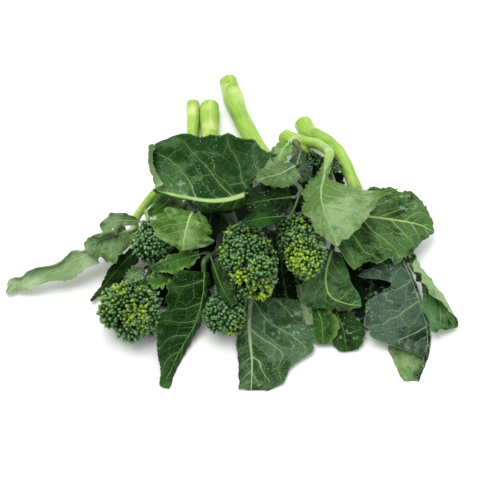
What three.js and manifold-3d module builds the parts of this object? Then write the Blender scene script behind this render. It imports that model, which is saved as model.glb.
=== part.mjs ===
// A bunch of baby broccoli lying on a table: cut stalks at the back (+Y), heads and leaves towards the front (-Y).
// Millimetres, +Z up, the table top at z = 0. Each stalk, head and leaf is one closed solid.
import * as THREE from "three";
import { mergeVertices } from "three/addons/utils/BufferGeometryUtils.js";
import Module from "manifold-3d";

const wasm = await Module();
wasm.setup();

// Driving dimensions
const BLADE_THICK = 0.8;
const RIB_DEEP = 1.9; // how far a midrib stands out below the blade at the leaf's base
const JOINT_GAP = 1; // between a leaf and its petiole, and between a head and its stalk
const RUN_IN_SHARE = 0.4; // how much of a petiole's last stretch runs straight at its leaf or head
const STALK_SIDES = 8;
const PETIOLE_SIDES = 5;
const BUD_RISE = 1.5; // how far a bud stands out of its head
const FLORET_DEPTH = 0.16; // depth of the clefts between florets, as a share of the head's radius
const BUNCH_CENTRE = [0, 34.4]; // x and y of the middle of the bunch's box, which becomes the origin

const UP = new THREE.Vector3(0, 0, 1);

// Value of an evenly spaced list at t from 0 to 1, on a smooth curve through its entries.
function along(list, t) {
  if (list.length === 1) return list[0];
  const x = Math.min(Math.max(t, 0), 1) * (list.length - 1);
  const i = Math.min(Math.floor(x), list.length - 2);
  const f = x - i;
  const [b, c] = [list[i], list[i + 1]];
  const a = i > 0 ? list[i - 1] : 2 * b - c;
  const d = i + 2 < list.length ? list[i + 2] : 2 * c - b;
  return b + 0.5 * f * (c - a + f * (2 * a - 5 * b + 4 * c - d + f * (3 * (b - c) + d - a)));
}

// The same for a list of points, which gives a vector.
function pointAlong(points, t) {
  return new THREE.Vector3(...[0, 1, 2].map((k) => along(points.map((p) => p[k]), t)));
}

function directionAlong(points, t) {
  const step = 0.002;
  return pointAlong(points, Math.min(t + step, 1)).sub(pointAlong(points, Math.max(t - step, 0))).normalize();
}

// A geometry with only merged positions, which is what a solid is made from.
function closed(geometry) {
  geometry.deleteAttribute("normal");
  geometry.deleteAttribute("uv");
  return mergeVertices(geometry, 1e-3);
}

function solidOf(geometry) {
  const merged = closed(geometry);
  return new wasm.Manifold(
    new wasm.Mesh({
      numProp: 3,
      vertProperties: new Float32Array(merged.attributes.position.array),
      triVerts: new Uint32Array(merged.index.array),
    }),
  );
}

function geometryOf(solid) {
  const mesh = solid.getMesh();
  return new THREE.BufferGeometry()
    .setAttribute("position", new THREE.BufferAttribute(mesh.vertProperties, 3))
    .setIndex(new THREE.BufferAttribute(mesh.triVerts, 1));
}

// Stalks: a tapered tube through the points, pressed flat where it meets the table.
function tube(points, radii, sides, stepsPerSpan) {
  const steps = stepsPerSpan * (points.length - 1);
  const geometry = new THREE.CylinderGeometry(1, 1, 1, sides, steps, false, Math.PI / sides);
  const position = geometry.attributes.position;
  for (let i = 0; i < position.count; i++) {
    const t = position.getY(i) + 0.5;
    const forward = directionAlong(points, t);
    const across = new THREE.Vector3().crossVectors(forward, UP).normalize();
    const upward = new THREE.Vector3().crossVectors(across, forward);
    const r = along(radii, t);
    const p = pointAlong(points, t)
      .addScaledVector(across, position.getX(i) * r)
      .addScaledVector(upward, position.getZ(i) * r);
    position.setXYZ(i, p.x, p.y, Math.max(p.z, 0));
  }
  return solidOf(geometry);
}

// The last two points of a petiole or stalk, which bring it straight up to its leaf or head.
function arrival({ leaf, head, path, radii }) {
  const { spine, face } = LEAVES[leaf] ?? {};
  const target = HEADS[head];
  if (!spine && !target) return [];
  const forward = spine ? directionAlong(spine, 0) : new THREE.Vector3(...target.axis).normalize();
  const up = spine ? pointAlong(face ?? LEAF_DEFAULTS.face, 0) : new THREE.Vector3();
  up.addScaledVector(forward, -up.dot(forward)).normalize();
  const start = spine ? pointAlong(spine, 0) : new THREE.Vector3(...target.centre);
  if (target) start.addScaledVector(forward, -target.size[2]);
  start.addScaledVector(up, BLADE_THICK / 2 - radii.at(-1));
  const runIn = RUN_IN_SHARE * start.distanceTo(new THREE.Vector3(...path.at(-1)));
  return [runIn, JOINT_GAP].map((d) => start.clone().addScaledVector(forward, -d).toArray());
}

function stalkGeometry([main, ...branches]) {
  const grown = (t, sides, steps) => tube([...t.path, ...arrival(t)], t.radii, sides, steps);
  const solids = branches.map((b) => grown(b, PETIOLE_SIDES, 2));
  return geometryOf(wasm.Manifold.union([grown(main, STALK_SIDES, 2), ...solids]));
}

// Leaves
// spine: points under the midrib, from the blade's base to its tip.
// face: which way the upper side looks, from base to tip.
// left, right: half widths from base to tip, as seen by someone walking along the spine on the upper side.
// fold: degrees that each half turns up from flat at its crease; crease: distance of the crease from the midrib.
// bend: width of the rounded crease; curl: further turn in degrees spread over the half width.
// wave: height of the margin's waves; waves: how many; sweep: how far the margin trails behind its row.
// shift, drop: how far the left and the right margin lie towards +X and -Y of their rows, from base to tip.
// teeth: how many teeth a margin has; cut: how deep the gaps between them are, as a share of the half width.
const LEAF_DEFAULTS = {
  face: [[0, 0, 1], [0, 0, 1]],
  fold: [12, 12],
  crease: [0, 0],
  bend: 8,
  curl: [0, 0],
  wave: 1.5,
  waves: 3,
  phase: 0,
  sweep: [0, 0],
  shift: [[0], [0]],
  drop: [[0], [0]],
  teeth: 6,
  cut: 0.1,
  rows: 12,
  columns: 3,
};
const SECTION_STEPS = 24;
const SMOOTH_RIB = 0.09; // share of a half blade that the midrib's flank takes

function leafFrame(leaf, s) {
  const forward = directionAlong(leaf.spine, s);
  const face = pointAlong(leaf.face, s);
  const up = face.addScaledVector(forward, -face.dot(forward)).normalize();
  const right = new THREE.Vector3().crossVectors(forward, up);
  return { forward, up, right };
}

// A point on the blade's middle surface: s runs from base to tip, v from -1 at the left margin to 1 at the right.
function leafPoint(leaf, s, v) {
  const { forward, up, right } = leafFrame(leaf, s);
  const side = v < 0 ? 0 : 1;
  const q = Math.abs(v);
  const notch = leaf.cut * q ** 3 * (0.5 - 0.5 * Math.cos(2 * Math.PI * leaf.teeth * s));
  const width = Math.max(along(side ? leaf.right : leaf.left, s), 0.8) * (1 - notch);
  const radians = Math.PI / 180;
  let outward = 0;
  let upward = 0;
  let turn = 0;
  for (let k = 0; k < SECTION_STEPS; k++) {
    const share = (q * (k + 0.5)) / SECTION_STEPS;
    const folded = Math.min(Math.max((width * share - leaf.crease[side]) / leaf.bend, 0), 1);
    turn = radians * (leaf.fold[side] * folded + leaf.curl[side] * share * share);
    outward += (Math.cos(turn) * width * q) / SECTION_STEPS;
    upward += (Math.sin(turn) * width * q) / SECTION_STEPS;
  }
  const swing = 2 * Math.PI * leaf.waves * s + leaf.phase + 2 * side;
  const wave = leaf.wave * q ** 1.6 * Math.sin(swing) * Math.sin(Math.PI * Math.min(0.12 + s, 1)) ** 0.5;
  const sideways = (side ? 1 : -1) * (outward - wave * Math.sin(turn));
  const trail = leaf.sweep[side] * q * q * (1 - s);
  const p = pointAlong(leaf.spine, s)
    .addScaledVector(right, sideways)
    .addScaledVector(up, upward + wave * Math.cos(turn))
    .addScaledVector(forward, -trail);
  p.x += along(leaf.shift[side], s) * q ** 1.2;
  p.y -= along(leaf.drop[side], s) * q ** 1.2;
  p.z = Math.max(p.z, BLADE_THICK / 2);
  return p;
}

// The v of each column of the grid: closer together at the midrib, where the rib stands out.
function columnPlaces(count) {
  const half = [0, SMOOTH_RIB];
  for (let j = 1; j <= count; j++) half.push(SMOOTH_RIB + ((1 - SMOOTH_RIB) * j) / count);
  return [...half.slice(1).reverse().map((v) => -v), ...half];
}

function leafGeometry(leaf) {
  const places = columnPlaces(leaf.columns);
  const across = places.length - 1;
  const grid = new THREE.PlaneGeometry(1, 1, across, leaf.rows);
  const middle = [];
  for (let i = 0; i <= leaf.rows; i++)
    for (const v of places) middle.push(leafPoint(leaf, i / leaf.rows, v));
  const at = (i, j) => middle[i * (across + 1) + j];
  const upper = [];
  const lower = [];
  for (let i = 0; i <= leaf.rows; i++)
    for (let j = 0; j <= across; j++) {
      const down = at(Math.min(i + 1, leaf.rows), j).clone().sub(at(Math.max(i - 1, 0), j));
      const over = at(i, Math.min(j + 1, across)).clone().sub(at(i, Math.max(j - 1, 0)));
      const normal = over.cross(down).normalize();
      const rib = places[j] === 0 ? RIB_DEEP * (1 - (0.85 * i) / leaf.rows) * (leaf.rib ?? 1) : 0;
      const top = at(i, j).clone().addScaledVector(normal, BLADE_THICK / 2);
      const bottom = at(i, j).clone().addScaledVector(normal, -BLADE_THICK / 2 - rib);
      for (const p of [top, bottom]) p.z = Math.max(p.z, 0);
      upper.push(top);
      lower.push(bottom);
    }
  const count = upper.length;
  const faces = [];
  const sheet = grid.index.array;
  for (let k = 0; k < sheet.length; k += 3) {
    const [a, b, c] = [sheet[k], sheet[k + 1], sheet[k + 2]];
    faces.push(c, b, a, a + count, b + count, c + count);
  }
  const rim = [];
  for (let j = 0; j < across; j++) rim.push(j);
  for (let i = 0; i < leaf.rows; i++) rim.push(i * (across + 1) + across);
  for (let j = across; j > 0; j--) rim.push(leaf.rows * (across + 1) + j);
  for (let i = leaf.rows; i > 0; i--) rim.push(i * (across + 1));
  rim.forEach((a, k) => {
    const b = rim[(k + 1) % rim.length];
    faces.push(a, a + count, b, b, a + count, b + count);
  });
  const positions = [...upper, ...lower].flatMap((p) => [p.x, p.y, p.z]);
  return new THREE.BufferGeometry()
    .setAttribute("position", new THREE.Float32BufferAttribute(positions, 3))
    .setIndex(faces);
}

// Heads: an eight-sided ball with every third vertex raised as a bud, pulled into florets.
// centre, axis: the middle of the head and the way it grew; size: half its width, height and length.
const GOLDEN_ANGLE = Math.PI * (3 - Math.sqrt(5));

function floretDirections(count) {
  const from = 0.98;
  const to = -0.35;
  return Array.from({ length: count }, (_, k) => {
    const z = from + ((to - from) * k) / (count - 1);
    const r = Math.sqrt(1 - z * z);
    return new THREE.Vector3(r * Math.cos(k * GOLDEN_ANGLE), r * Math.sin(k * GOLDEN_ANGLE), z);
  });
}

function headGeometry(head) {
  const frequency = head.frequency;
  const geometry = closed(new THREE.OctahedronGeometry(1, frequency - 1));
  const position = geometry.attributes.position;
  const florets = floretDirections(head.florets);
  const spacing = Math.sqrt((4 * Math.PI) / (1.5 * head.florets)) / 1.6;
  const axis = new THREE.Vector3(...head.axis).normalize();
  const across = new THREE.Vector3().crossVectors(UP, axis).normalize();
  const upward = new THREE.Vector3().crossVectors(axis, across);
  for (let i = 0; i < position.count; i++) {
    const d = new THREE.Vector3().fromBufferAttribute(position, i).normalize();
    const lattice = frequency / (Math.abs(d.x) + Math.abs(d.y) + Math.abs(d.z));
    const isBud = (Math.round(Math.abs(d.x) * lattice) - Math.round(Math.abs(d.y) * lattice)) % 3 === 0;
    const nearest = Math.min(...florets.map((f) => f.angleTo(d)));
    const lobe = Math.exp(-((nearest / spacing) ** 2));
    const back = Math.max(-d.z, 0);
    const reach = 1 - FLORET_DEPTH * (1 - lobe) * (1 - back);
    const girth = Math.max(1 - d.z * d.z, 0.01) ** -0.17 * (1 - 0.3 * back);
    const rise = back > 0.6 ? 0 : (isBud ? 0.5 : -0.5) * BUD_RISE;
    const p = new THREE.Vector3(...head.centre)
      .addScaledVector(across, d.x * (head.size[0] * reach * girth + rise))
      .addScaledVector(upward, d.y * (head.size[1] * reach * girth + rise))
      .addScaledVector(axis, d.z * (head.size[2] * reach + rise));
    position.setXYZ(i, p.x, p.y, Math.max(p.z, 0));
  }
  return geometry;
}

const LEAVES = {
  crown: {
    spine: [[8, 20, 43.2], [-1.5, 17.5, 42], [-12, 17, 41.5], [-23, 19.5, 41], [-33.5, 23.5, 39.5], [-41.5, 25.5, 41],
      [-37.5, 25.5, 46]],
    face: [[0, -0.2, 1], [0, -0.2, 1], [0, -0.2, 1], [0, -0.2, 1], [0.15, -0.2, 1], [1, -0.1, 0.4], [1, 0, -0.4]],
    left: [3, 12, 18, 20, 14, 4, 2, 2, 2, 2, 2, 2, 2],
    right: [26, 38, 42, 42, 40, 39, 33],
    fold: [-110, 4],
    shift: [[0, 0], [27, 22, 8, 0, -4, -13, -9]],
    curl: [0, 8],
    cut: 0.04,
    rows: 13,
  },
  pale_flap: {
    spine: [[56.5, 50, 35.5], [53.5, 35, 39.5], [51.5, 20, 41.5], [53.5, 6.5, 41], [60, -9.5, 33]],
    face: [[0, 0.2, -1], [0, 0.1, -1]],
    left: [3, 4, 6, 9, 12, 13, 12, 9, 1],
    right: [3, 3, 3, 6, 34, 45, 43, 38, 31, 22, 3],
    rows: 11,
    fold: [-28, -3],
    sweep: [0, 5],
  },
  right_big: {
    spine: [[63, 17, 31], [81, 18, 26], [98, 20, 20], [110, 21, 15], [119, 19, 11]],
    face: [[0, -0.1, 1], [0, -0.2, 1]],
    left: [4, 15, 20, 22, 21, 12, 2],
    right: [16, 35, 30, 28, 23, 15, 2],
    fold: [6, -5],
    sweep: [6, 8],
  },
  hanging: {
    spine: [[96.5, 4, 12], [100.5, -7, 11], [104.1, -19, 9.5], [107.4, -32, 6.3], [109.8, -44, 4], [109.3, -54.5, 2],
      [106.3, -64.5, 1.2], [100.8, -74.5, 1]],
    face: [[0.2, -0.3, 1], [0.1, -0.1, 1]],
    left: [2, 3, 3, 4, 5, 6, 8, 10, 13, 18, 26, 27, 24, 19, 13],
    right: [3, 7, 14, 23, 29, 27, 19, 14, 15, 23, 31, 33, 34, 35, 35.5, 35.5, 35, 34.5, 33, 29, 21, 5, 2, 2, 2, 2, 2, 2, 1],
    drop: [[0, 0], [0, 0, 0, 0, 0, 0, 0, 1, 2, 4.5, 6.5, 6, 5, 5, 5]],
    fold: [-160, 2],
    bend: 5.5,
    sweep: [0, 2],
    cut: 0.04,
    rows: 15,
  },
  right_folded: {
    spine: [[102, 7, 9], [104.4, -2, 8], [109, -11, 7], [116.1, -23, 5.5], [125.9, -43.5, 3]],
    face: [[0.3, 0, 1], [0.3, 0, 1]],
    left: [2, 7, 14, 18, 16, 3],
    right: [1.5, 1.5, 1.8, 4.2, 12.5, 17],
    fold: [155, 4],
    bend: 6,
  },
  front: {
    spine: [[12.5, -26, 9], [11, -40, 5], [11.5, -53, 3], [12.5, -65, 1.5], [12, -82.5, 1]],
    left: [26, 28, 29.5, 30, 30.5, 32, 34, 35.5, 36, 35.5, 35, 34, 27.5, 21, 19.5, 18, 9],
    right: [2, 3, 5, 7, 8, 8, 8, 7.5, 6.5],
    fold: [3, -15],
    wave: 1,
    cut: 0.04,
  },
  fore_left: {
    spine: [[-14, -21, 25], [-15, -33, 17], [-19.5, -46, 9], [-27.5, -60, 4], [-35.5, -81, 1]],
    face: [[0.3, -0.6, 0.8], [0.2, -0.3, 1]],
    left: [3, 10, 12, 10, 8, 3],
    right: [15, 18, 20.8, 21.5, 21.5, 20.8, 19.5, 18.5, 18.8, 20.6, 20.8, 18.6, 15.3, 11, 7, 4.5, 3],
    fold: [-150, 5],
    cut: 0.06,
  },
  under_right: {
    spine: [[58, -1, 19], [54.5, -14, 16], [54.5, -23, 13], [57.5, -28.5, 11], [65, -31, 9], [74, -31, 7]],
    face: [[0, -0.3, 1], [0, -0.3, 1]],
    left: [7, 13, 14, 14, 18, 17, 4],
    right: [3, 8, 14, 15, 6, 4, 1],
    fold: [-6, 0],
    columns: 2,
    rows: 11,
  },
  left_long: {
    spine: [[-79.5, 4, 12], [-95, -4.5, 10], [-112, -11, 7], [-123, -13.5, 4.5], [-127.5, -20, 3]],
    left: [11, 12, 9, 8, 6, 2],
    right: [3, 5, 6, 6, 3, 1],
    fold: [6, 160],
    bend: 6,
    rows: 9,
  },
  left_folded: {
    spine: [[-60, 15.5, 16.5], [-67, 11.5, 17], [-76, 7.5, 17], [-84, 4.5, 16.5]],
    left: [3, 11, 18, 14, 6],
    right: [3, 9, 11.5, 5, 1.5],
    fold: [-4, 155],
    bend: 6,
    rows: 8,
  },
  left_small: {
    spine: [[-53, 22.5, 16.5], [-60, 21.5, 18.5], [-67.5, 20.5, 18.5], [-75, 16.5, 16]],
    face: [[0, -0.5, 1], [0, -0.3, 1]],
    left: [1, 3.6, 4.5, 2.5],
    right: [1, 4.2, 5.4, 2.8],
    rows: 6,
    columns: 1,
    rib: 0.4,
    wave: 0.4,
  },
  left_narrow: {
    spine: [[-52, 9, 10], [-61, -1, 8], [-70.5, -13, 5], [-79, -25, 2.5]],
    left: [3, 7, 7.5, 4, 1],
    right: [1, 5, 5, 1.5, 1],
    rows: 8,
    columns: 1,
    rib: 0.5,
    wave: 0.6,
  },
  young: {
    spine: [[-21.5, 15, 33.5], [-22.5, 7, 38.5], [-24.5, -2, 37.5], [-26.5, -10, 30.5]],
    face: [[0, -0.5, 1], [0, -1, 0.5]],
    left: [4, 12, 14, 16, 18, 5],
    right: [7, 13, 16, 20, 18, 3],
    fold: [-20, 0],
    wave: 2,
    rows: 10,
  },
  ruffled: {
    spine: [[-17, -8.5, 25], [-25, -10.5, 24], [-34, -13.5, 23], [-44, -15.5, 20.5]],
    face: [[0, -0.4, 1], [0, -0.4, 1]],
    left: [2, 6, 7, 6, 1],
    right: [2, 4, 5, 4, 1],
    columns: 2,
    rows: 8,
    wave: 1.8,
    rib: 0.5,
  },
  tucked_dark: {
    spine: [[34.5, 17, 44.5], [23, 14, 46], [9, 11.5, 45]],
    face: [[0, -0.3, 1], [0, -0.3, 1]],
    left: [3, 9, 11, 10, 5],
    right: [3, 8, 10, 10, 5],
    columns: 2,
    rows: 8,
    rib: 0.5,
  },
  tucked_point: {
    spine: [[29, 1, 47], [18, -2, 49], [7, -4, 47]],
    face: [[0, -0.3, 1], [0, -0.3, 1]],
    left: [2, 6, 2],
    right: [2, 6, 2],
    columns: 1,
    rows: 5,
    rib: 0.4,
    wave: 0.3,
  },
  tucked_pale: {
    spine: [[36.5, 34, 51], [28, 26.5, 53], [14.5, 23, 52]],
    face: [[0, 0.3, -1], [0, 0.3, -1]],
    left: [4, 12, 13, 9, 2],
    right: [4, 9, 9, 6, 1],
    columns: 2,
    rows: 7,
    rib: 0.5,
  },
  tucked_grey: {
    spine: [[41.5, 69, 24], [39, 53, 30], [42, 37.5, 34]],
    face: [[0, -0.3, 1], [0, -0.5, 1]],
    left: [2, 7, 9, 5],
    right: [2, 5, 6, 3],
    columns: 1,
    rows: 6,
    rib: 0.5,
    wave: 0.4,
  },
  over_head: {
    spine: [[-9, -21.5, 34], [-6.5, -30, 33.5], [-3.5, -37.5, 32], [1.5, -46.5, 29.5]],
    face: [[0, -0.4, 1], [0, -0.4, 1]],
    left: [1, 4, 7, 6, 3],
    right: [1, 2, 3, 3, 1],
    columns: 2,
    rows: 7,
    rib: 0.4,
    wave: 0.5,
  },
  bract_front: {
    spine: [[-34, -17, 16], [-40, -20.5, 18], [-46, -22, 19]],
    left: [2, 7, 7, 3],
    right: [2, 5, 5, 2],
    columns: 1,
    rows: 6,
    rib: 0.4,
    wave: 0.5,
  },
  bract_back: {
    spine: [[-49.5, -8, 11], [-53.5, -14, 14], [-57, -20, 14.5]],
    left: [1, 5, 5, 2],
    right: [1, 5, 5, 2],
    columns: 1,
    rows: 6,
    rib: 0.4,
    wave: 0.4,
  },
  bed_middle: {
    spine: [[28, 25, 5], [29, 6, 6], [31, -14, 5], [33, -31, 4]],
    left: [3, 8, 9, 8, 6, 2],
    right: [8, 14, 16, 15, 10, 2],
    fold: [2, 2],
    columns: 1,
    rows: 7,
    rib: 0.6,
  },
  bed_right: {
    spine: [[82, 14, 6], [82, 0, 5], [80, -18, 4], [75, -43, 2]],
    left: [3, 12, 20, 25, 17, 6],
    right: [3, 12, 15, 14, 10, 4],
    fold: [2, 2],
    columns: 1,
    rows: 7,
    rib: 0.6,
  },
  bed_left: {
    spine: [[-26, 22, 12], [-29, 7, 11], [-33, -10, 7], [-37.5, -29, 4]],
    left: [2, 13, 19, 23, 25, 18],
    right: [6, 12, 9, 5, 5, 3],
    fold: [2, 2],
    columns: 1,
    rows: 6,
    rib: 0.6,
  },
  strip: {
    spine: [[39.4, -18, 8.8], [42, -29.5, 7.9], [44.5, -46, 9.8]],
    left: [2.2, 3, 3.2, 2],
    right: [2.2, 3, 3.2, 2],
    columns: 1,
    rows: 6,
    rib: 0.4,
    wave: 0.5,
  },
  foot_bright: {
    spine: [[49, -33, 6.5], [51.5, -42, 5.5], [51.5, -54.5, 3.5]],
    left: [4, 9, 10, 5],
    right: [2, 4.5, 5, 3],
    columns: 2,
    rows: 7,
    rib: 0.5,
    wave: 0.8,
  },
  foot_dark: {
    spine: [[60, -33, 3.4], [63.5, -45, 3], [64.5, -58, 1.5]],
    left: [5, 11, 12, 7],
    right: [3, 7, 9, 5],
    columns: 2,
    rows: 7,
    rib: 0.5,
    wave: 0.8,
  },
  bed_back: {
    spine: [[8, 70, 2], [12, 56, 2], [16, 34, 4], [16.5, 16, 3]],
    left: [4, 18, 24, 15, 5, 2],
    right: [3, 11, 16, 26, 26, 8],
    fold: [2, 2],
    columns: 1,
    rows: 7,
    rib: 0.6,
  },
  tucked_under: {
    spine: [[-10, 25, 25.5], [-12, 13, 25], [-14, 3, 22]],
    left: [2, 5, 5, 3],
    right: [2, 8, 8, 3],
    columns: 1,
    rows: 6,
    rib: 0.5,
    wave: 0.4,
  },
  left_tucked: {
    spine: [[-34, 44, 18], [-38, 28, 25.5], [-47, 20, 25.5]],
    face: [[0, -0.3, 1], [0, -0.3, 1]],
    left: [2, 6, 6, 2],
    right: [2, 5, 5, 2],
    columns: 1,
    rows: 6,
    rib: 0.5,
    wave: 0.4,
  },
  tucked_low: {
    spine: [[43, 61, 14], [42, 51, 16], [42, 40, 17], [42, 30, 16]],
    left: [2, 7, 8, 6],
    right: [2, 6, 6, 2],
    columns: 1,
    rows: 6,
    rib: 0.5,
    wave: 0.4,
  },
  bed_far: {
    spine: [[52, 81, 2.4], [57, 66, 2.6], [60, 49, 2.5]],
    left: [3, 11, 12, 5],
    right: [2, 7, 7, 2],
    columns: 1,
    rows: 5,
    rib: 0.5,
    wave: 0.4,
  },
  node_leaf: {
    spine: [[35.5, 87, 15], [31, 77, 18], [28, 65, 20]],
    face: [[-0.3, -0.3, 1], [-0.2, -0.3, 1]],
    left: [2, 6, 7, 3],
    right: [2, 6, 7, 3],
    columns: 1,
    rows: 6,
    rib: 0.8,
    wave: 0.5,
  },
};

const HEADS = {
  middle: { centre: [9.4, -10.6, 27.5], axis: [0.28, -1, 0.2], size: [16, 16, 32], florets: 17, frequency: 12 },
  right: { centre: [39.5, -1, 27.5], axis: [0.2, -1, 0.2], size: [13, 13.5, 29.5], florets: 15, frequency: 12 },
  front: { centre: [-2.4, -39.6, 15.4], axis: [0, -1, 0.1], size: [13.3, 13.4, 15.4], florets: 9, frequency: 9 },
  left: { centre: [-54.7, -39.7, 15.5], axis: [-0.4, -1, 0.1], size: [17.1, 15, 17], florets: 13, frequency: 12 },
  back_left: { centre: [-43, 3.5, 23], axis: [-0.3, -1, 0.2], size: [12, 11, 14], florets: 9, frequency: 9 },
  young: { centre: [48.5, 73, 15], axis: [0.3, -1, 0.3], size: [5.5, 5, 6.5], florets: 5, frequency: 3 },
  shoot: { centre: [61.5, 58, 27], axis: [0.1, -1, 0.3], size: [4.5, 4.5, 9], florets: 5, frequency: 3 },
};

// Each stalk is one piece: its main tube, then the petioles and branches that grow out of it.
// A tube that bears a leaf or head runs on from its path to that leaf or head.
const STALKS = {
  left_thin: [
    { path: [[-25.2, 131, 4], [-25.4, 100, 4.1], [-34, 69, 9.5], [-44.4, 47, 14], [-54, 31, 13.5], [-57, 20, 11]],
      radii: [4.5, 4, 3.4, 3, 2.6, 2.2] },
    { leaf: "left_long", path: [[-56, 21, 11], [-62, 9, 9], [-69, 4, 10]], radii: [2.2, 2, 1.8, 1.5] },
    { leaf: "left_folded", path: [[-55.5, 23, 11]], radii: [1.8, 1.3] },
    { leaf: "left_small", path: [[-49, 33, 13]], radii: [1.3, 0.8] },
    { leaf: "left_narrow", path: [[-56.5, 21, 11]], radii: [1.6, 1] },
    { leaf: "young", path: [[-34, 64, 10], [-30, 47, 20], [-25, 30, 30]], radii: [2.2, 2, 1.8, 1.4] },
    { leaf: "left_tucked", path: [[-37, 58, 11]], radii: [1.6, 1.2] },
  ],
  middle: [
    { head: "middle", path: [[-14.6, 127.5, 5.6], [-13.6, 100, 6.4], [-11, 66, 16], [-5, 40, 23]],
      radii: [6.3, 5.9, 5.2, 4.4, 3.6] },
    { head: "front", path: [[-7, 46, 22], [-5, 20, 12], [-4, 0, 9]], radii: [3.4, 3.2, 3, 2.6] },
    { leaf: "crown", path: [[-5, 42, 24], [4, 40, 31], [14, 34, 38]], radii: [2.8, 2.5, 2.3, 1.8] },
    { leaf: "fore_left", path: [[-4.5, 8, 10], [-10, -6, 20]], radii: [2.2, 2, 1.6] },
    { leaf: "over_head", path: [[-10, -6, 20], [-10.5, -12, 28]], radii: [1.2, 1, 0.7] },
    { leaf: "ruffled", path: [[-10, -5, 19.5]], radii: [1, 0.8] },
    { leaf: "front", path: [[-4.5, 12, 10], [0, -3, 6], [8, -14, 6]], radii: [2.6, 2.4, 2.2, 1.8] },
    { leaf: "tucked_under", path: [[-7, 44, 22], [-9, 35, 25]], radii: [1.8, 1.5, 1.1] },
  ],
  under: [
    { head: "left", path: [[3, 98, 3.9], [-14, 64, 3.5], [-32, 30, 3.1], [-42, 2, 3.4]],
      radii: [4.4, 4, 3.8, 3.4, 3] },
    { head: "back_left", path: [[-20, 52, 5], [-30, 35, 12]], radii: [2.8, 2.6, 2.4] },
    { leaf: "bract_back", path: [[-45, -3, 5.5]], radii: [1.2, 0.8] },
    { leaf: "bed_left", path: [[-25.5, 42.5, 8.6]], radii: [1.5, 1.2] },
    { leaf: "bract_front", path: [[-41, 2, 8], [-33, -6, 13]], radii: [1.4, 1.2, 0.9] },
  ],
  long: [
    { head: "right", path: [[-3, 150.2, 5.4], [4.2, 121, 5.8], [14.4, 91, 9.2], [26, 60, 15.5]],
      radii: [6.1, 6, 5.5, 5, 4.1, 3.4] },
    { leaf: "tucked_dark", path: [[27, 58, 17], [35, 38, 34], [40, 24, 43]], radii: [2, 1.7, 1.4, 1] },
    { leaf: "tucked_pale", path: [[34, 40, 32], [37, 40, 42]], radii: [1.4, 1.1, 0.8] },
    { leaf: "tucked_point", path: [[40, 24, 43], [37, 10, 47]], radii: [1, 0.8, 0.6] },
    { leaf: "bed_middle", path: [[29, 48, 18], [28, 30, 9]], radii: [1.8, 1.5, 1.3] },
    { leaf: "bed_back", path: [[21, 78, 12], [16, 69, 8]], radii: [1.8, 1.5, 1.3] },
  ],
  short: [
    { path: [[33, 101, 4.7], [37.5, 95, 6.6], [43, 87, 11], [46, 81, 12]], radii: [5.2, 5.4, 4.6, 3] },
    { leaf: "pale_flap", path: [[41, 90, 12], [51, 82, 19], [56.5, 68, 29]],
      radii: [3.6, 3.3, 3.1, 3, 2.5] },
    { leaf: "right_big", path: [[44, 85, 10], [56, 76, 9], [61, 60, 11], [60, 42, 21], [56, 24, 29]],
      radii: [2.4, 2.2, 2, 2, 2, 1.8, 1.6] },
    { head: "young", path: [[45, 84, 12]], radii: [1.6, 1.2] },
    { head: "shoot", path: [[56, 76, 10], [58, 70, 19]], radii: [1.6, 1.4] },
    { leaf: "tucked_grey", path: [[40, 90, 12], [40, 80, 19]], radii: [2, 1.5, 0.9] },
    { leaf: "node_leaf", path: [[41, 92, 11]], radii: [2.2, 1.8] },
    { leaf: "tucked_low", path: [[42.5, 84, 9.5], [41, 70, 12.5]], radii: [1.8, 1.5, 1.2] },
    { leaf: "bed_far", path: [[56.5, 75, 9]], radii: [1.6, 1.2] },
    { leaf: "foot_bright", path: [[44, 84, 9], [49, 60, 4], [54, 25, 3], [53, -5, 3]],
      radii: [2.6, 2.2, 2, 1.8, 1.6, 1.2] },
    { leaf: "foot_dark", path: [[53, -4, 3], [56, -16, 3]], radii: [1.6, 1.4, 1.1] },
    { leaf: "strip", path: [[53.5, 10, 3], [48, -1, 8]], radii: [1.6, 1.4, 0.9] },
  ],
  right: [
    { path: [[45, 112, 5], [49, 101, 7.6], [57, 88.5, 15], [65, 74.5, 19], [70.7, 56.5, 20], [77.5, 37, 16], [90, 16, 9]],
      radii: [6, 5.5, 4.7, 4.3, 4.1, 3.6, 2.6] },
    { leaf: "hanging", path: [[84, 24, 12]], radii: [2.4, 1.3] },
    { leaf: "right_folded", path: [[86, 20, 11]], radii: [2.2, 1.6] },
    { leaf: "under_right", path: [[79, 31, 14], [70, 17, 17]], radii: [2, 1.8, 1.5] },
    { leaf: "bed_right", path: [[81, 28, 13]], radii: [1.6, 1.3] },
  ],
};

const COLOURS = {
  stalk: 0x9cc657,
  head: 0x3f6b34,
  leaf: 0x24502c,
};

const bunch = new THREE.Group();
bunch.position.set(-BUNCH_CENTRE[0], -BUNCH_CENTRE[1], 0);

function place(name, geometry, colour, roughness) {
  const material = new THREE.MeshStandardMaterial({ color: colour, roughness, metalness: 0 });
  const mesh = new THREE.Mesh(geometry, material);
  mesh.name = name;
  bunch.add(mesh);
}

for (const [name, tubes] of Object.entries(STALKS))
  place("stalk_" + name, stalkGeometry(tubes), COLOURS.stalk, 0.45);
for (const [name, head] of Object.entries(HEADS))
  place("head_" + name, headGeometry(head), COLOURS.head, 0.7);
for (const [name, leaf] of Object.entries(LEAVES))
  place("leaf_" + name, leafGeometry({ ...LEAF_DEFAULTS, ...leaf }), COLOURS.leaf, 0.5);

export default bunch;
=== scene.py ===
# A bunch of baby broccoli on a white table: fine leaves, flower heads and stalks in place of the solids.
import math
import random

import bmesh
import bpy
import numpy as np
from mathutils import Matrix, Vector


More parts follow.
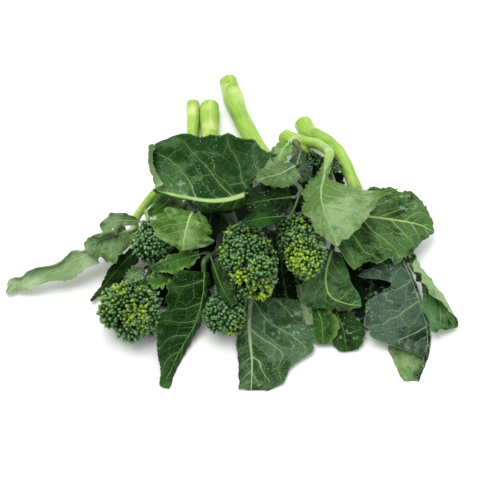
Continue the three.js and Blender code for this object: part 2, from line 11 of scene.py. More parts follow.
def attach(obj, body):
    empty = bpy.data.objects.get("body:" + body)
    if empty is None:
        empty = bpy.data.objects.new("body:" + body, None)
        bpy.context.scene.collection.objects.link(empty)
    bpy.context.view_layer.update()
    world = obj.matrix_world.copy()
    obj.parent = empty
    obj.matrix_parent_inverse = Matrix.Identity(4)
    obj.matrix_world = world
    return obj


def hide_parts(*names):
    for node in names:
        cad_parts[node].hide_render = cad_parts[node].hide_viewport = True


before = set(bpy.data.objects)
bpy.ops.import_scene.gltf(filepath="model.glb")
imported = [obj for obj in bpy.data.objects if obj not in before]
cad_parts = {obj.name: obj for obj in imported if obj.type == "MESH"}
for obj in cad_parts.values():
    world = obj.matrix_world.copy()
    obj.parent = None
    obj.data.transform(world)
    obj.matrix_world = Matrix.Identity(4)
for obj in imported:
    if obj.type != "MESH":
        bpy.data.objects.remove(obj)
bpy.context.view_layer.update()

# Lengths in the tables and functions are millimetres, and meshes are made in metres.
MM = 0.001
BUNCH_CENTRE = (0.0, 34.4)  # x and y of the middle of the bunch's box, which is the origin
BODY = "root"
UP = np.array([0.0, 0.0, 1.0])
EAST = np.array([1.0, 0.0, 0.0])
NORTH = np.array([0.0, 1.0, 0.0])

# Leaves
# spine: points under the midrib, from the blade's base to its tip.
# face: which way the upper side looks, from base to tip.
# left, right: half widths from base to tip, as seen by someone who walks along the spine on its upper side.
# fold: degrees that each half turns up from flat; bend: width of the rounded crease beside the midrib.
# curl: further turn in degrees spread over the half width.
# wave: height of the margin's waves; ruffle: height of its crimps.
# sweep: how far the margin trails behind its row.
# shift, drop: how far the left and the right margin lie towards +X and -Y of their rows.
# cut: how deep the gaps between the margin's lobes are, as a share of the half width.
# fine_teeth: how many small teeth; jag: their depth.
# veins_left, veins_right: for each side vein, where it leaves the midrib and where it meets the margin.
# rib: how thick the midrib is; midrib: how wide its pale stripe is, against the usual.
# puff: how far the blade swells between its veins; pucker: height of its small uneven swellings.
# bulge: how far the right half's tip edge bows out towards -X.
# painted_shade: how far the left and the right half are darkened with painted shade, from 0 to 1; look: the
# leaf's finish.
WAVES, LOBES, CRIMPS = 3, 6, 5  # how many of each a margin has
LEAF_DEFAULTS = dict(
    face=[(0, 0, 1)],
    fold=(12, 12),
    bend=8,
    curl=(0, 0),
    wave=1.5,
    sweep=(0, 0),
    shift=([0], [0]),
    drop=([0], [0]),
    cut=0.1,
    rib=1,
    fine_teeth=14,
    jag=1.1,
    ruffle=1.0,
    veins_left=((0.04, 0.3), (0.18, 0.5), (0.35, 0.68), (0.52, 0.84), (0.7, 0.97)),
    veins_right=((0, 0.26), (0.14, 0.45), (0.3, 0.64), (0.47, 0.8), (0.64, 0.94)),
    midrib=1.0,
    puff=0.5,
    pucker=0.32,
    bulge=0,
    painted_shade=(0, 0),
    mesh_step=0.85,
    look="green",
)
# Leaves that lie in the pile's shade, wide or small: their dark shade finish and darkening are painted
# shade, and the wide ones are dark sheets that fill gaps where there is only shade.
BED = dict(look="shade", midrib=0.3, painted_shade=(1, 1), fold=(2, 2), rib=0.6)
LOW = dict(look="shade", midrib=0.3, rib=0.5, wave=0.4)
LEAVES = {
    "crown": dict(
        look="deep",
        spine=[(8, 20, 43.2), (-1.5, 17.5, 42), (-12, 17, 41.5), (-23, 19.5, 41), (-33.5, 23.5, 39.5),
            (-41.5, 25.5, 41), (-37.5, 25.5, 46)],
        face=[(0, -0.2, 1), (0, -0.2, 1), (0, -0.2, 1), (0, -0.2, 1), (0.15, -0.2, 1), (1, -0.1, 0.4),
            (1, 0, -0.4)],
        left=(3, 12, 18, 20, 14, 4, 2, 2, 2, 2, 2, 2, 2), right=(26, 38, 42, 42, 40, 39, 33),
        fold=(-110, 4), curl=(0, 8), shift=[(0, 0), (27, 22, 8, 0, -4, -13, -9)], cut=0.04,
        fine_teeth=26, jag=0.8,
        veins_right=((-0.16, 0.16), (-0.06, 0.36), (0.09, 0.8), (0.44, 0.92), (0.53, 1.15)), midrib=1.9,
        bulge=3.5, painted_shade=(0.75, 0.5), mesh_step=0.8,
    ),
    "pale_flap": dict(
        look="pale",
        spine=[(56.5, 50, 35.5), (53.5, 35, 39.5), (51.5, 20, 41.5), (53.5, 6.5, 41), (60, -9.5, 33)],
        face=[(0, 0.2, -1), (0, 0.1, -1)], left=(3, 4, 6, 9, 12, 13, 12, 9, 1),
        right=(3, 3, 3, 6, 34, 45, 43, 38, 31, 22, 3), fold=(-28, -3), sweep=(0, 5), fine_teeth=40,
        jag=2.6, midrib=1.3, painted_shade=(0.4, 0), mesh_step=0.7,
    ),
    "right_big": dict(
        look="green", spine=[(63, 17, 31), (81, 18, 26), (98, 20, 20), (110, 21, 15), (119, 19, 11)],
        face=[(0, -0.1, 1), (0, -0.2, 1)], left=(4, 15, 20, 22, 21, 12, 2),
        right=(16, 35, 30, 28, 23, 15, 2), fold=(6, -5), sweep=(6, 8), fine_teeth=26, jag=1.6,
        veins_left=((-0.2, 0.4), (0, 0.74), (0.3, 0.9), (0.55, 1)),
        veins_right=((-0.3, 0.22), (-0.12, 0.38), (0.13, 0.62), (0.4, 0.83), (0.62, 0.96)), midrib=1.2,
    ),
    "hanging": dict(
        look="blue",
        spine=[(96.5, 4, 12), (100.5, -7, 11), (104.1, -19, 9.5), (107.4, -32, 6.3), (109.8, -44, 4),
            (109.3, -54.5, 2), (106.3, -64.5, 1.2), (100.8, -74.5, 1)],
        face=[(0.2, -0.3, 1), (0.1, -0.1, 1)],
        left=(2, 4, 8, 12, 14, 14, 14, 14, 16, 20, 26, 27.5, 26, 22, 13),
        right=(3, 7, 14, 23, 29, 27, 19, 14, 15, 23, 31, 33, 34, 35, 35.5, 35.5, 35, 34.5, 33, 29, 21,
            5, 2, 2, 2, 2, 2, 2, 1),
        fold=(-160, 2), bend=5.5, sweep=(0, 2),
        drop=[(0, 0, 0, 0, 0, 0, 0, 2, 6), (0, 0, 0, 0, 0, 0, 0, 1, 2, 4.5, 6.5, 6, 4, 2, 0)], cut=0.04,
        fine_teeth=24, jag=0.7, veins_right=((0.06, 0.1), (0.24, 0.32), (0.385, 0.56), (0.56, 0.78)),
        midrib=0.4,
    ),
    "right_folded": dict(
        look="deep",
        spine=[(102, 7, 9), (104.4, -2, 8), (109, -11, 7), (116.1, -23, 5.5), (125.9, -43.5, 3)],
        face=[(0.3, 0, 1)], left=(2, 7, 14, 18, 16, 3), right=(1.5, 1.5, 1.8, 4.2, 12.5, 17),
        fold=(155, 4), bend=6, fine_teeth=24, jag=2, midrib=0.5,
    ),
    "front": dict(
        look="bloom",
        spine=[(12.5, -26, 9), (11, -40, 5), (11.5, -53, 3), (12.5, -65, 1.5), (12, -82.5, 1)],
        left=(26, 28, 29.5, 30, 30.5, 32, 34, 35.5, 36, 35.5, 35, 34, 27.5, 21, 19.5, 18, 9),
        right=(2, 3, 5, 7, 8, 8, 8, 7.5, 6.5), fold=(3, -15), wave=1, cut=0.04, fine_teeth=22, jag=0.6,
        veins_left=((-0.3, 0.3), (0, 0.75), (0.33, 1.02), (0.7, 1.15)),
        veins_right=((0.18, 0.28), (0.36, 0.46), (0.52, 0.6), (0.7, 0.8), (0.84, 0.94)), midrib=1.6,
    ),
    "fore_left": dict(
        look="lush",
        spine=[(-14, -21, 25), (-15, -33, 17), (-19.5, -46, 9), (-27.5, -60, 4), (-35.5, -81, 1)],
        face=[(0.3, -0.6, 0.8), (0.2, -0.3, 1)], left=(3, 10, 12, 10, 8, 3),
        right=(15, 18, 20.8, 21.5, 21.5, 20.8, 19.5, 18.5, 18.8, 20.6, 20.8, 18.6, 15.3, 11, 7, 4.5, 3),
        fold=(-150, 5), cut=0.06, jag=0.7,
        veins_right=((-0.12, 0.06), (0.08, 0.21), (0.3, 0.5), (0.45, 0.66), (0.6, 0.82), (0.75, 0.95)),
        midrib=0.35,
    ),
    "under_right": dict(
        look="deep",
        spine=[(58, -1, 19), (54.5, -14, 16), (54.5, -23, 13), (57.5, -28.5, 11), (65, -31, 9),
            (74, -31, 7)],
        face=[(0, -0.3, 1)], left=(7, 13, 14, 14, 18, 17, 4), right=(3, 8, 14, 15, 6, 4, 1),
        fold=(-6, 0), jag=0.7, midrib=0.8, painted_shade=(0.3, 0.3),
    ),
    "left_long": dict(
        look="silver",
        spine=[(-79.5, 4, 12), (-95, -4.5, 10), (-112, -11, 7), (-123, -13.5, 4.5), (-127.5, -20, 3)],
        left=(11, 12, 9, 8, 6, 2), right=(3, 5, 6, 6, 3, 1), fold=(6, 160), bend=6, jag=1, midrib=0.4,
    ),
    "left_folded": dict(
        look="grey", spine=[(-60, 15.5, 16.5), (-67, 11.5, 17), (-76, 7.5, 17), (-84, 4.5, 16.5)],
        left=(3, 11, 18, 14, 6), right=(3, 9, 11.5, 5, 1.5), fold=(-4, 155), bend=6, jag=0.7,
        midrib=0.5,
    ),
    "left_small": dict(
        look="grey", spine=[(-53, 22.5, 16.5), (-60, 21.5, 18.5), (-67.5, 20.5, 18.5), (-75, 16.5, 16)],
        face=[(0, -0.5, 1), (0, -0.3, 1)], left=(1, 3.6, 4.5, 2.5), right=(1, 4.2, 5.4, 2.8), wave=0.4,
        jag=0.5, rib=0.4, midrib=0.3,
    ),
    "left_narrow": dict(
        look="shade", spine=[(-52, 9, 10), (-61, -1, 8), (-70.5, -13, 5), (-79, -25, 2.5)],
        left=(3, 7, 7.5, 4, 1), right=(1, 5, 5, 1.5, 1), wave=0.6, rib=0.5, midrib=0.3, painted_shade=(0.5, 0.5),
    ),
    "young": dict(
        look="young",
        spine=[(-21.5, 15, 33.5), (-22.5, 7, 38.5), (-24.5, -2, 37.5), (-26.5, -10, 30.5)],
        face=[(0, -0.5, 1), (0, -1, 0.5)], left=(4, 12, 14, 16, 18, 5), right=(7, 13, 16, 20, 18, 3),
        fold=(-20, 0), wave=2, fine_teeth=12, jag=1.2, midrib=1.0, puff=0.9, pucker=0.5, painted_shade=(0, 0.15),
    ),
    "ruffled": dict(
        look="rim", spine=[(-17, -8.5, 25), (-25, -10.5, 24), (-34, -13.5, 23), (-44, -15.5, 20.5)],
        face=[(0, -0.4, 1)], left=(2, 6, 7, 6, 1), right=(2, 4, 5, 4, 1), wave=1.8, jag=0.8, ruffle=1.6,
        rib=0.5, midrib=0.3,
    ),
    "tucked_dark": dict(
        look="shade", spine=[(34.5, 17, 44.5), (23, 14, 46), (9, 11.5, 45)], face=[(0, -0.3, 1)],
        left=(3, 9, 11, 10, 5), right=(3, 8, 10, 10, 5), jag=0.7, rib=0.5, midrib=0.5, painted_shade=(0.5, 0.5),
    ),
    "tucked_point": dict(
        look="shade", spine=[(29, 1, 47), (18, -2, 49), (7, -4, 47)], face=[(0, -0.3, 1)],
        left=(2, 6, 2), right=(2, 6, 2), wave=0.3, jag=0.5, rib=0.4, midrib=0.4,
    ),
    "tucked_pale": dict(
        look="grey", spine=[(36.5, 34, 51), (28, 26.5, 53), (14.5, 23, 52)], face=[(0, 0.3, -1)],
        left=(4, 12, 13, 9, 2), right=(4, 9, 9, 6, 1), jag=1.6, rib=0.5, midrib=0.6,
    ),
    "tucked_grey": dict(
        look="blue", spine=[(41.5, 69, 24), (39, 53, 30), (42, 37.5, 34)],
        face=[(0, -0.3, 1), (0, -0.5, 1)], left=(2, 7, 9, 5), right=(2, 5, 6, 3), wave=0.4, rib=0.5,
        midrib=0.5,
    ),
    "over_head": dict(
        look="shade", spine=[(-9, -21.5, 34), (-6.5, -30, 33.5), (-3.5, -37.5, 32), (1.5, -46.5, 29.5)],
        face=[(0, -0.4, 1)], left=(1, 4, 7, 6, 3), right=(1, 2, 3, 3, 1), wave=0.5, jag=0.5, rib=0.4,
        midrib=0.5,
    ),
    "bract_front": dict(
        look="rim", spine=[(-34, -17, 16), (-40, -20.5, 18), (-46, -22, 19)], left=(2, 7, 7, 3),
        right=(2, 5, 5, 2), wave=0.5, jag=0.7, rib=0.4, midrib=0.3,
    ),
    "bract_back": dict(
        look="grey", spine=[(-49.5, -8, 11), (-53.5, -14, 14), (-57, -20, 14.5)], left=(1, 5, 5, 2),
        right=(1, 5, 5, 2), wave=0.4, rib=0.4, midrib=0.4,
    ),
    "bed_middle": dict(BED,
        spine=[(28, 25, 5), (29, 6, 6), (31, -14, 5), (33, -31, 4)], left=(14, 24, 24, 18, 12, 6),
        right=(14, 18, 18, 16, 11, 4),
    ),
    "bed_right": dict(BED,
        spine=[(82, 14, 6), (82, 0, 5), (80, -18, 4), (75, -43, 2)], left=(3, 12, 20, 25, 17, 6),
        right=(10, 17, 19, 16, 11, 4),
    ),
    "bed_left": dict(BED,
        spine=[(-26, 22, 12), (-29, 7, 11), (-33, -10, 7), (-37.5, -29, 4)],
        left=(12, 21, 24, 26, 26, 18), right=(8, 16, 18, 14, 9, 5),
    ),
    "strip": dict(
        look="grey", spine=[(39.4, -18, 8.8), (42, -29.5, 7.9), (44.5, -46, 9.8)],
        left=(2.2, 3, 3.2, 2), right=(2.2, 3, 3.2, 2), wave=0.5, rib=0.4, midrib=0.5,
    ),
    "foot_bright": dict(
        look="rim", spine=[(49, -33, 6.5), (51.5, -42, 5.5), (51.5, -54.5, 3.5)], left=(4, 9, 10, 5),
        right=(4, 7, 7.5, 5), wave=0.8, jag=0.8, rib=0.5, midrib=0.5, painted_shade=(0.4, 0.4),
    ),
    "foot_dark": dict(
        look="shade", spine=[(60, -33, 3.4), (63.5, -45, 3), (64.5, -58, 1.5)], left=(5, 11, 12, 7),
        right=(3, 7, 9, 5), wave=0.8, jag=0.8, rib=0.5, midrib=0.5,
    ),
    "bed_back": dict(BED,
        spine=[(8, 70, 2), (12, 56, 2), (16, 34, 4), (16.5, 16, 3)], left=(4, 18, 24, 15, 5, 2),
        right=(3, 11, 16, 26, 28, 22),
    ),
    "tucked_under": dict(LOW,
        spine=[(-10, 25, 25.5), (-12, 13, 25), (-14, 3, 22)], left=(3, 7, 8, 5), right=(3, 9, 10, 5),
        painted_shade=(1, 1),
    ),
    "left_tucked": dict(
        look="rim", spine=[(-34, 44, 18), (-38, 28, 25.5), (-47, 20, 25.5)], face=[(0, -0.3, 1)],
        left=(5, 9, 7, 2), right=(4, 7, 6, 2), wave=0.4, rib=0.5, midrib=0.4,
    ),
    "tucked_low": dict(LOW,
        spine=[(43, 61, 14), (42, 51, 16), (42, 40, 17), (42, 30, 16)], left=(3, 9, 10, 8),
        right=(3, 8, 8, 4), painted_shade=(0.9, 0.9),
    ),
    "bed_far": dict(LOW,
        spine=[(52, 81, 2.4), (57, 66, 2.6), (60, 49, 2.5)], left=(3, 11, 12, 5), right=(2, 7, 7, 2),
        painted_shade=(0.8, 0.8),
    ),
    "node_leaf": dict(
        look="young", spine=[(35.5, 87, 15), (31, 77, 18), (28, 65, 20)],
        face=[(-0.3, -0.3, 1), (-0.2, -0.3, 1)], left=(2, 6, 7, 3), right=(2, 6, 7, 3), wave=0.5,
        rib=0.8, midrib=0.6,
    ),
}

# The middle of each flower head, the way it grew, its half sizes across, upward and lengthwise,
# and how many florets its outline shows.
HEADS = {
    "middle": dict(centre=(9.4, -10.6, 27.5), axis=(0.28, -1, 0.2), size=(16, 16, 32), florets=17),
    "right": dict(centre=(39.5, -1, 27.5), axis=(0.2, -1, 0.2), size=(13, 13.5, 29.5), florets=15),
    "front": dict(centre=(-2.4, -39.6, 15.4), axis=(0, -1, 0.1), size=(13.3, 13.4, 15.4), florets=9),
    "left": dict(centre=(-54.7, -39.7, 15.5), axis=(-0.4, -1, 0.1), size=(17.1, 15, 17), florets=13),
    "back_left": dict(centre=(-43, 3.5, 23), axis=(-0.3, -1, 0.2), size=(12, 11, 14), florets=9),
    "young": dict(centre=(48.5, 73, 15), axis=(0.3, -1, 0.3), size=(5.5, 5, 6.5), florets=5),
    "shoot": dict(centre=(61.5, 58, 27), axis=(0.1, -1, 0.3), size=(4.5, 4.5, 9), florets=5),
}

# Each stalk's tubes, the stalk first and then its branches and petioles: the leaf or head at the end,
# the points before it, and the radius from start to end.
STALKS = {
    "left_thin": [
        dict(path=[(-25.2, 131, 4), (-25.4, 100, 4.1), (-34, 69, 9.5), (-44.4, 47, 14),
            (-54, 31, 13.5), (-57, 20, 11)], radii=(4.5, 4, 3.4, 3, 2.6, 2.2)),
        dict(leaf="left_long", path=[(-56, 21, 11), (-62, 9, 9),
            (-69, 4, 10)], radii=(2.2, 2, 1.8, 1.5)),
        dict(leaf="left_folded", path=[(-55.5, 23, 11)], radii=(1.8, 1.3)),
        dict(leaf="left_small", path=[(-49, 33, 13)], radii=(1.3, 0.8)),
        dict(leaf="left_narrow", path=[(-56.5, 21, 11)], radii=(1.6, 1)),
        dict(leaf="young", path=[(-34, 64, 10), (-30, 47, 20),
            (-25, 30, 30)], radii=(2.2, 2, 1.8, 1.4)),
        dict(leaf="left_tucked", path=[(-37, 58, 11)], radii=(1.6, 1.2)),
    ],
    "middle": [
        dict(head="middle", path=[(-14.6, 127.5, 5.6), (-13.6, 100, 6.4), (-11, 66, 16),
            (-5, 40, 23)], radii=(6.3, 5.9, 5.2, 4.4, 3.6)),
        dict(head="front", path=[(-7, 46, 22), (-5, 20, 12), (-4, 0, 9)], radii=(3.4, 3.2, 3, 2.6)),
        dict(leaf="crown", path=[(-5, 42, 24), (4, 40, 31), (14, 34, 38)], radii=(2.8, 2.5, 2.3, 1.8)),
        dict(leaf="fore_left", path=[(-4.5, 8, 10), (-10, -6, 20)], radii=(2.2, 2, 1.6)),
        dict(leaf="over_head", path=[(-10, -6, 20), (-10.5, -12, 28)], radii=(1.2, 1, 0.7)),
        dict(leaf="ruffled", path=[(-10, -5, 19.5)], radii=(1, 0.8)),
        dict(leaf="front", path=[(-4.5, 12, 10), (0, -3, 6), (8, -14, 6)], radii=(2.6, 2.4, 2.2, 1.8)),
        dict(leaf="tucked_under", path=[(-7, 44, 22), (-9, 35, 25)], radii=(1.8, 1.5, 1.1)),
    ],
    "under": [
        dict(head="left", path=[(3, 98, 3.9), (-14, 64, 3.5), (-32, 30, 3.1),
            (-42, 2, 3.4)], radii=(4.4, 4, 3.8, 3.4, 3)),
        dict(head="back_left", path=[(-20, 52, 5), (-30, 35, 12)], radii=(2.8, 2.6, 2.4)),
        dict(leaf="bract_back", path=[(-45, -3, 5.5)], radii=(1.2, 0.8)),
        dict(leaf="bed_left", path=[(-25.5, 42.5, 8.6)], radii=(1.5, 1.2)),
        dict(leaf="bract_front", path=[(-41, 2, 8), (-33, -6, 13)], radii=(1.4, 1.2, 0.9)),
    ],
    "long": [
        dict(head="right", path=[(-3, 150.2, 5.4), (4.2, 121, 5.8), (14.4, 91, 9.2),
            (26, 60, 15.5)], radii=(6.1, 6, 5.5, 5, 4.1, 3.4)),
        dict(leaf="tucked_dark", path=[(27, 58, 17), (35, 38, 34),
            (40, 24, 43)], radii=(2, 1.7, 1.4, 1)),
        dict(leaf="tucked_pale", path=[(34, 40, 32), (37, 40, 42)], radii=(1.4, 1.1, 0.8)),
        dict(leaf="tucked_point", path=[(40, 24, 43), (37, 10, 47)], radii=(1, 0.8, 0.6)),
        dict(leaf="bed_middle", path=[(29, 48, 18), (28, 30, 9)], radii=(1.8, 1.5, 1.3)),
        dict(leaf="bed_back", path=[(21, 78, 12), (16, 69, 8)], radii=(1.8, 1.5, 1.3)),
    ],
    "short": [
        dict(path=[(33, 101, 4.7), (37.5, 95, 6.6), (43, 87, 11),
            (46, 81, 12)], radii=(5.2, 5.4, 4.6, 3)),
        dict(leaf="pale_flap", path=[(41, 90, 12), (51, 82, 19),
            (56.5, 68, 29)], radii=(3.6, 3.3, 3.1, 3, 2.5)),
        dict(leaf="right_big", path=[(44, 85, 10), (56, 76, 9), (61, 60, 11), (60, 42, 21),
            (56, 24, 29)], radii=(2.4, 2.2, 2, 2, 2, 1.8, 1.6)),
        dict(head="young", path=[(45, 84, 12)], radii=(1.6, 1.2)),
        dict(head="shoot", path=[(56, 76, 10), (58, 70, 19)], radii=(1.6, 1.4)),
        dict(leaf="tucked_grey", path=[(40, 90, 12), (40, 80, 19)], radii=(2, 1.5, 0.9)),
        dict(leaf="node_leaf", path=[(41, 92, 11)], radii=(2.2, 1.8)),
        dict(leaf="tucked_low", path=[(42.5, 84, 9.5), (41, 70, 12.5)], radii=(1.8, 1.5, 1.2)),
        dict(leaf="bed_far", path=[(56.5, 75, 9)], radii=(1.6, 1.2)),
        dict(leaf="foot_bright", path=[(44, 84, 9), (49, 60, 4), (54, 25, 3),
            (53, -5, 3)], radii=(2.6, 2.2, 2, 1.8, 1.6, 1.2)),
        dict(leaf="foot_dark", path=[(53, -4, 3), (56, -16, 3)], radii=(1.6, 1.4, 1.1)),
        dict(leaf="strip", path=[(53.5, 10, 3), (48, -1, 8)], radii=(1.6, 1.4, 0.9)),
    ],
    "right": [
        dict(path=[(45, 112, 5), (49, 101, 7.6), (57, 88.5, 15), (65, 74.5, 19), (70.7, 56.5, 20),
            (77.5, 37, 16), (90, 16, 9)], radii=(6, 5.5, 4.7, 4.3, 4.1, 3.6, 2.6)),
        dict(leaf="hanging", path=[(84, 24, 12)], radii=(2.4, 1.3)),
        dict(leaf="right_folded", path=[(86, 20, 11)], radii=(2.2, 1.6)),
        dict(leaf="under_right", path=[(79, 31, 14), (70, 17, 17)], radii=(2, 1.8, 1.5)),
        dict(leaf="bed_right", path=[(81, 28, 13)], radii=(1.6, 1.3)),
    ],
}




def along(values, t):
    """Value of an evenly spaced list at each t from 0 to 1, on a smooth curve through its entries."""
    values = np.asarray(values, float)
    t = np.asarray(t, float)
    if len(values) == 1:
        return np.broadcast_to(values[0], t.shape + values.shape[1:]).copy()
    x = np.clip(t, 0, 1) * (len(values) - 1)
    i = np.minimum(np.floor(x).astype(int), len(values) - 2)
    f = (x - i).reshape(t.shape + (1,) * (values.ndim - 1))
    ends = 2 * values[:1] - values[1:2], 2 * values[-1:] - values[-2:-1]
    padded = np.concatenate([ends[0], values, ends[1]])
    a, b, c, d = (padded[i + k] for k in range(4))
    return b + 0.5 * f * (c - a + f * (2 * a - 5 * b + 4 * c - d + f * (3 * (b - c) + d - a)))


def unit(vectors):
    """The same vectors with a length of 1."""
    lengths = np.linalg.norm(vectors, axis=-1, keepdims=True)
    return vectors / np.maximum(lengths, 1e-12)


def direction_along(points, t, step=0.002):
    """Which way the smooth curve through the points runs at each t."""
    t = np.asarray(t, float)
    return unit(along(points, np.minimum(t + step, 1)) - along(points, np.maximum(t - step, 0)))


def square_to(vectors, forward):
    """The vectors turned square to forward, with a length of 1."""
    share = (vectors * forward).sum(-1, keepdims=True)
    return unit(vectors - forward * share)


def in_metres(points):
    """Points of the bunch in millimetres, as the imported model's metres."""
    shifted = np.array(points, float)
    shifted[..., 0] -= BUNCH_CENTRE[0]
    shifted[..., 1] -= BUNCH_CENTRE[1]
    return shifted * MM


def smooth_step(low, high, x):
    """0 below low, 1 above high, and a smooth rise between them."""
    share = np.clip((x - low) / (high - low), 0, 1)
    return share * share * (3 - 2 * share)


def wobble(rng, t, cycles, count=4):
    """A smooth random curve of t between about -1 and 1, from sine waves near the given number of cycles."""
    total = np.zeros_like(np.asarray(t, float))
    for _ in range(count):
        turns = cycles * rng.uniform(0.6, 1.5)
        total += math.sqrt(2 / count) * np.sin(2 * np.pi * (turns * t + rng.random()))
    return total * 0.7


def object_from(name, bm, materials):
    """A mesh object at the origin, made from the bmesh, with the given materials."""
    mesh = bpy.data.meshes.new(name)
    bm.to_mesh(mesh)
    bm.free()
    for material in materials:
        mesh.materials.append(material)
    piece = bpy.data.objects.new(name, mesh)
    bpy.context.scene.collection.objects.link(piece)
    return piece


def store(mesh, name, values):
    """Keeps one number, or one vector, for each vertex, under a name that a material reads."""
    values = np.asarray(values, np.float32)
    kind = "FLOAT" if values.ndim == 1 else "FLOAT_VECTOR"
    field = "value" if values.ndim == 1 else "vector"
    mesh.attributes.new(name, kind, "POINT").data.foreach_set(field, values.ravel())


def add_piece(piece, node):
    """Puts a finished piece on the bunch's body, in the place of its CAD node."""
    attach(piece, BODY)
    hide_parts(node)


# Leaf blades

BLADE_THICK = 0.8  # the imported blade's thickness, whose middle surface is kept
FINE_THICK = 0.45  # the real blade's thickness
RIB_DEEP = 1.9
SECTION_STEPS = 24
RIB_HALF_WIDTH = 1.9  # of a midrib at the leaf's base
TABLE_GAP = 0.02


def half_width(leaf, s, v):
    """Half width of the blade at each point's row, with the lobes and fine teeth of its margin cut in."""
    side = (v >= 0).astype(int)
    q = np.abs(v)
    plain = np.where(side == 1, along(leaf["right"], s), along(leaf["left"], s))
    lobes = leaf["cut"] * q**3 * (0.5 - 0.5 * np.cos(2 * np.pi * LOBES * s))
    rng = random.Random(leaf["seed"])
    jag = np.zeros_like(s)
    for k in (0, 1):
        drift = 0.35 * wobble(rng, s, 3) / leaf["fine_teeth"]
        saw = (leaf["fine_teeth"] * (s + drift) + 0.5 * k) % 1.0
        depth = 0.5 + 0.5 * wobble(rng, s, 5)
        rough = 0.25 * wobble(rng, s, 2.5 * leaf["fine_teeth"])
        jag = np.where(side == k, saw**1.5 * np.clip(depth, 0.1, 1) + rough, jag)
    fine = leaf["jag"] * jag * smooth_step(0.72, 1.0, q)
    return np.maximum(plain, 0.8) * (1 - lobes) - np.minimum(fine, 0.3 * np.maximum(plain, 0.8))


def blade_middle(leaf, s, v):
    """Points of the blade's middle surface: s runs from base to tip, v from left margin to right."""
    rows = s[:, 0]
    forward = direction_along(leaf["spine"], rows)[:, None, :]
    up = square_to(along(leaf["face"], rows)[:, None, :], forward)
    right = np.cross(forward, up)
    side = (v >= 0).astype(int)
    q = np.abs(v)
    width = half_width(leaf, s, v)
    fold, curl, sweep = (np.array(leaf[k], float)[side] for k in ("fold", "curl", "sweep"))
    outward = np.zeros_like(s)
    upward = np.zeros_like(s)
    for k in range(SECTION_STEPS):
        share = q * (k + 0.5) / SECTION_STEPS
        folded = np.clip(width * share / leaf["bend"], 0, 1)
        turn = np.radians(fold * folded + curl * share * share)
        outward += np.cos(turn) * width * q / SECTION_STEPS
        upward += np.sin(turn) * width * q / SECTION_STEPS
    swing = 2 * np.pi * WAVES * s + 2 * side
    wave = leaf["wave"] * q**1.6 * np.sin(swing) * np.sin(np.pi * np.minimum(0.12 + s, 1)) ** 0.5
    rng = random.Random(leaf["seed"] + 1)
    ruffle = np.where(side == 1, wobble(rng, s, CRIMPS), wobble(rng, s, CRIMPS))
    wave = wave + leaf["ruffle"] * q**3 * ruffle * smooth_step(0, 0.1, s)
    sideways = np.where(side == 1, 1, -1) * (outward - wave * np.sin(turn))
    trail = sweep * q * q * (1 - s)
    shift = np.where(side == 1, along(leaf["shift"][1], s), along(leaf["shift"][0], s)) * q**1.2
    drop = np.where(side == 1, along(leaf["drop"][1], s), along(leaf["drop"][0], s)) * q**1.2
    shift = shift - side * leaf["bulge"] * np.sin(np.pi * q) * smooth_step(0.7, 1, s)
    ragged = 0.5 + 0.5 * wobble(rng, v * width / 16, 2)
    trail = trail + leaf["jag"] * smooth_step(0.93, 1, s) * ragged * q
    return (
        along(leaf["spine"], rows)[:, None, :]
        + right * sideways[..., None]
        + up * (upward + wave * np.cos(turn))[..., None]
        - forward * trail[..., None]
        + EAST * shift[..., None]
        - NORTH * drop[..., None]
    )


def grid_normals(points):
    """Which way the upper side looks at each point of a grid of rows and columns."""
    down = np.gradient(points, axis=0)
    over = np.gradient(points, axis=1)
    return unit(np.cross(over, down))


def vein_lanes(leaf, s, v):
    """Side veins lie where this is a whole number: it rises from one vein to the next along the blade."""
    side = (v >= 0).astype(int)
    q = np.abs(v)
    lanes = np.empty_like(s)
    for column in range(s.shape[1]):
        veins = np.array(leaf[("veins_left", "veins_right")[side[0, column]]])
        places = veins[:, 0] + (veins[:, 1] - veins[:, 0]) * q[0, column]
        first, last = places[1] - places[0], places[-1] - places[-2]
        places = [places[0] - 4 * first, *places, places[-1] + 5 * last]
        numbers = [-4, *range(len(veins)), len(veins) + 4]
        lanes[:, column] = np.interp(s[:, column], places, numbers)
    return lanes + 20


def puckers(leaf, across, lengthwise):
    """Small uneven swellings of a blade, between about -1 and 1, from waves that cross it every way."""
    rng = random.Random(leaf["seed"] + 2)
    total = np.zeros_like(across)
    for _ in range(14):
        heading = rng.uniform(0, math.pi)
        pace = 2 * math.pi / rng.uniform(5, 15)
        phase = rng.uniform(0, 2 * math.pi)
        total += np.sin(pace * (across * math.cos(heading) + lengthwise * math.sin(heading)) + phase)
    return total / 4


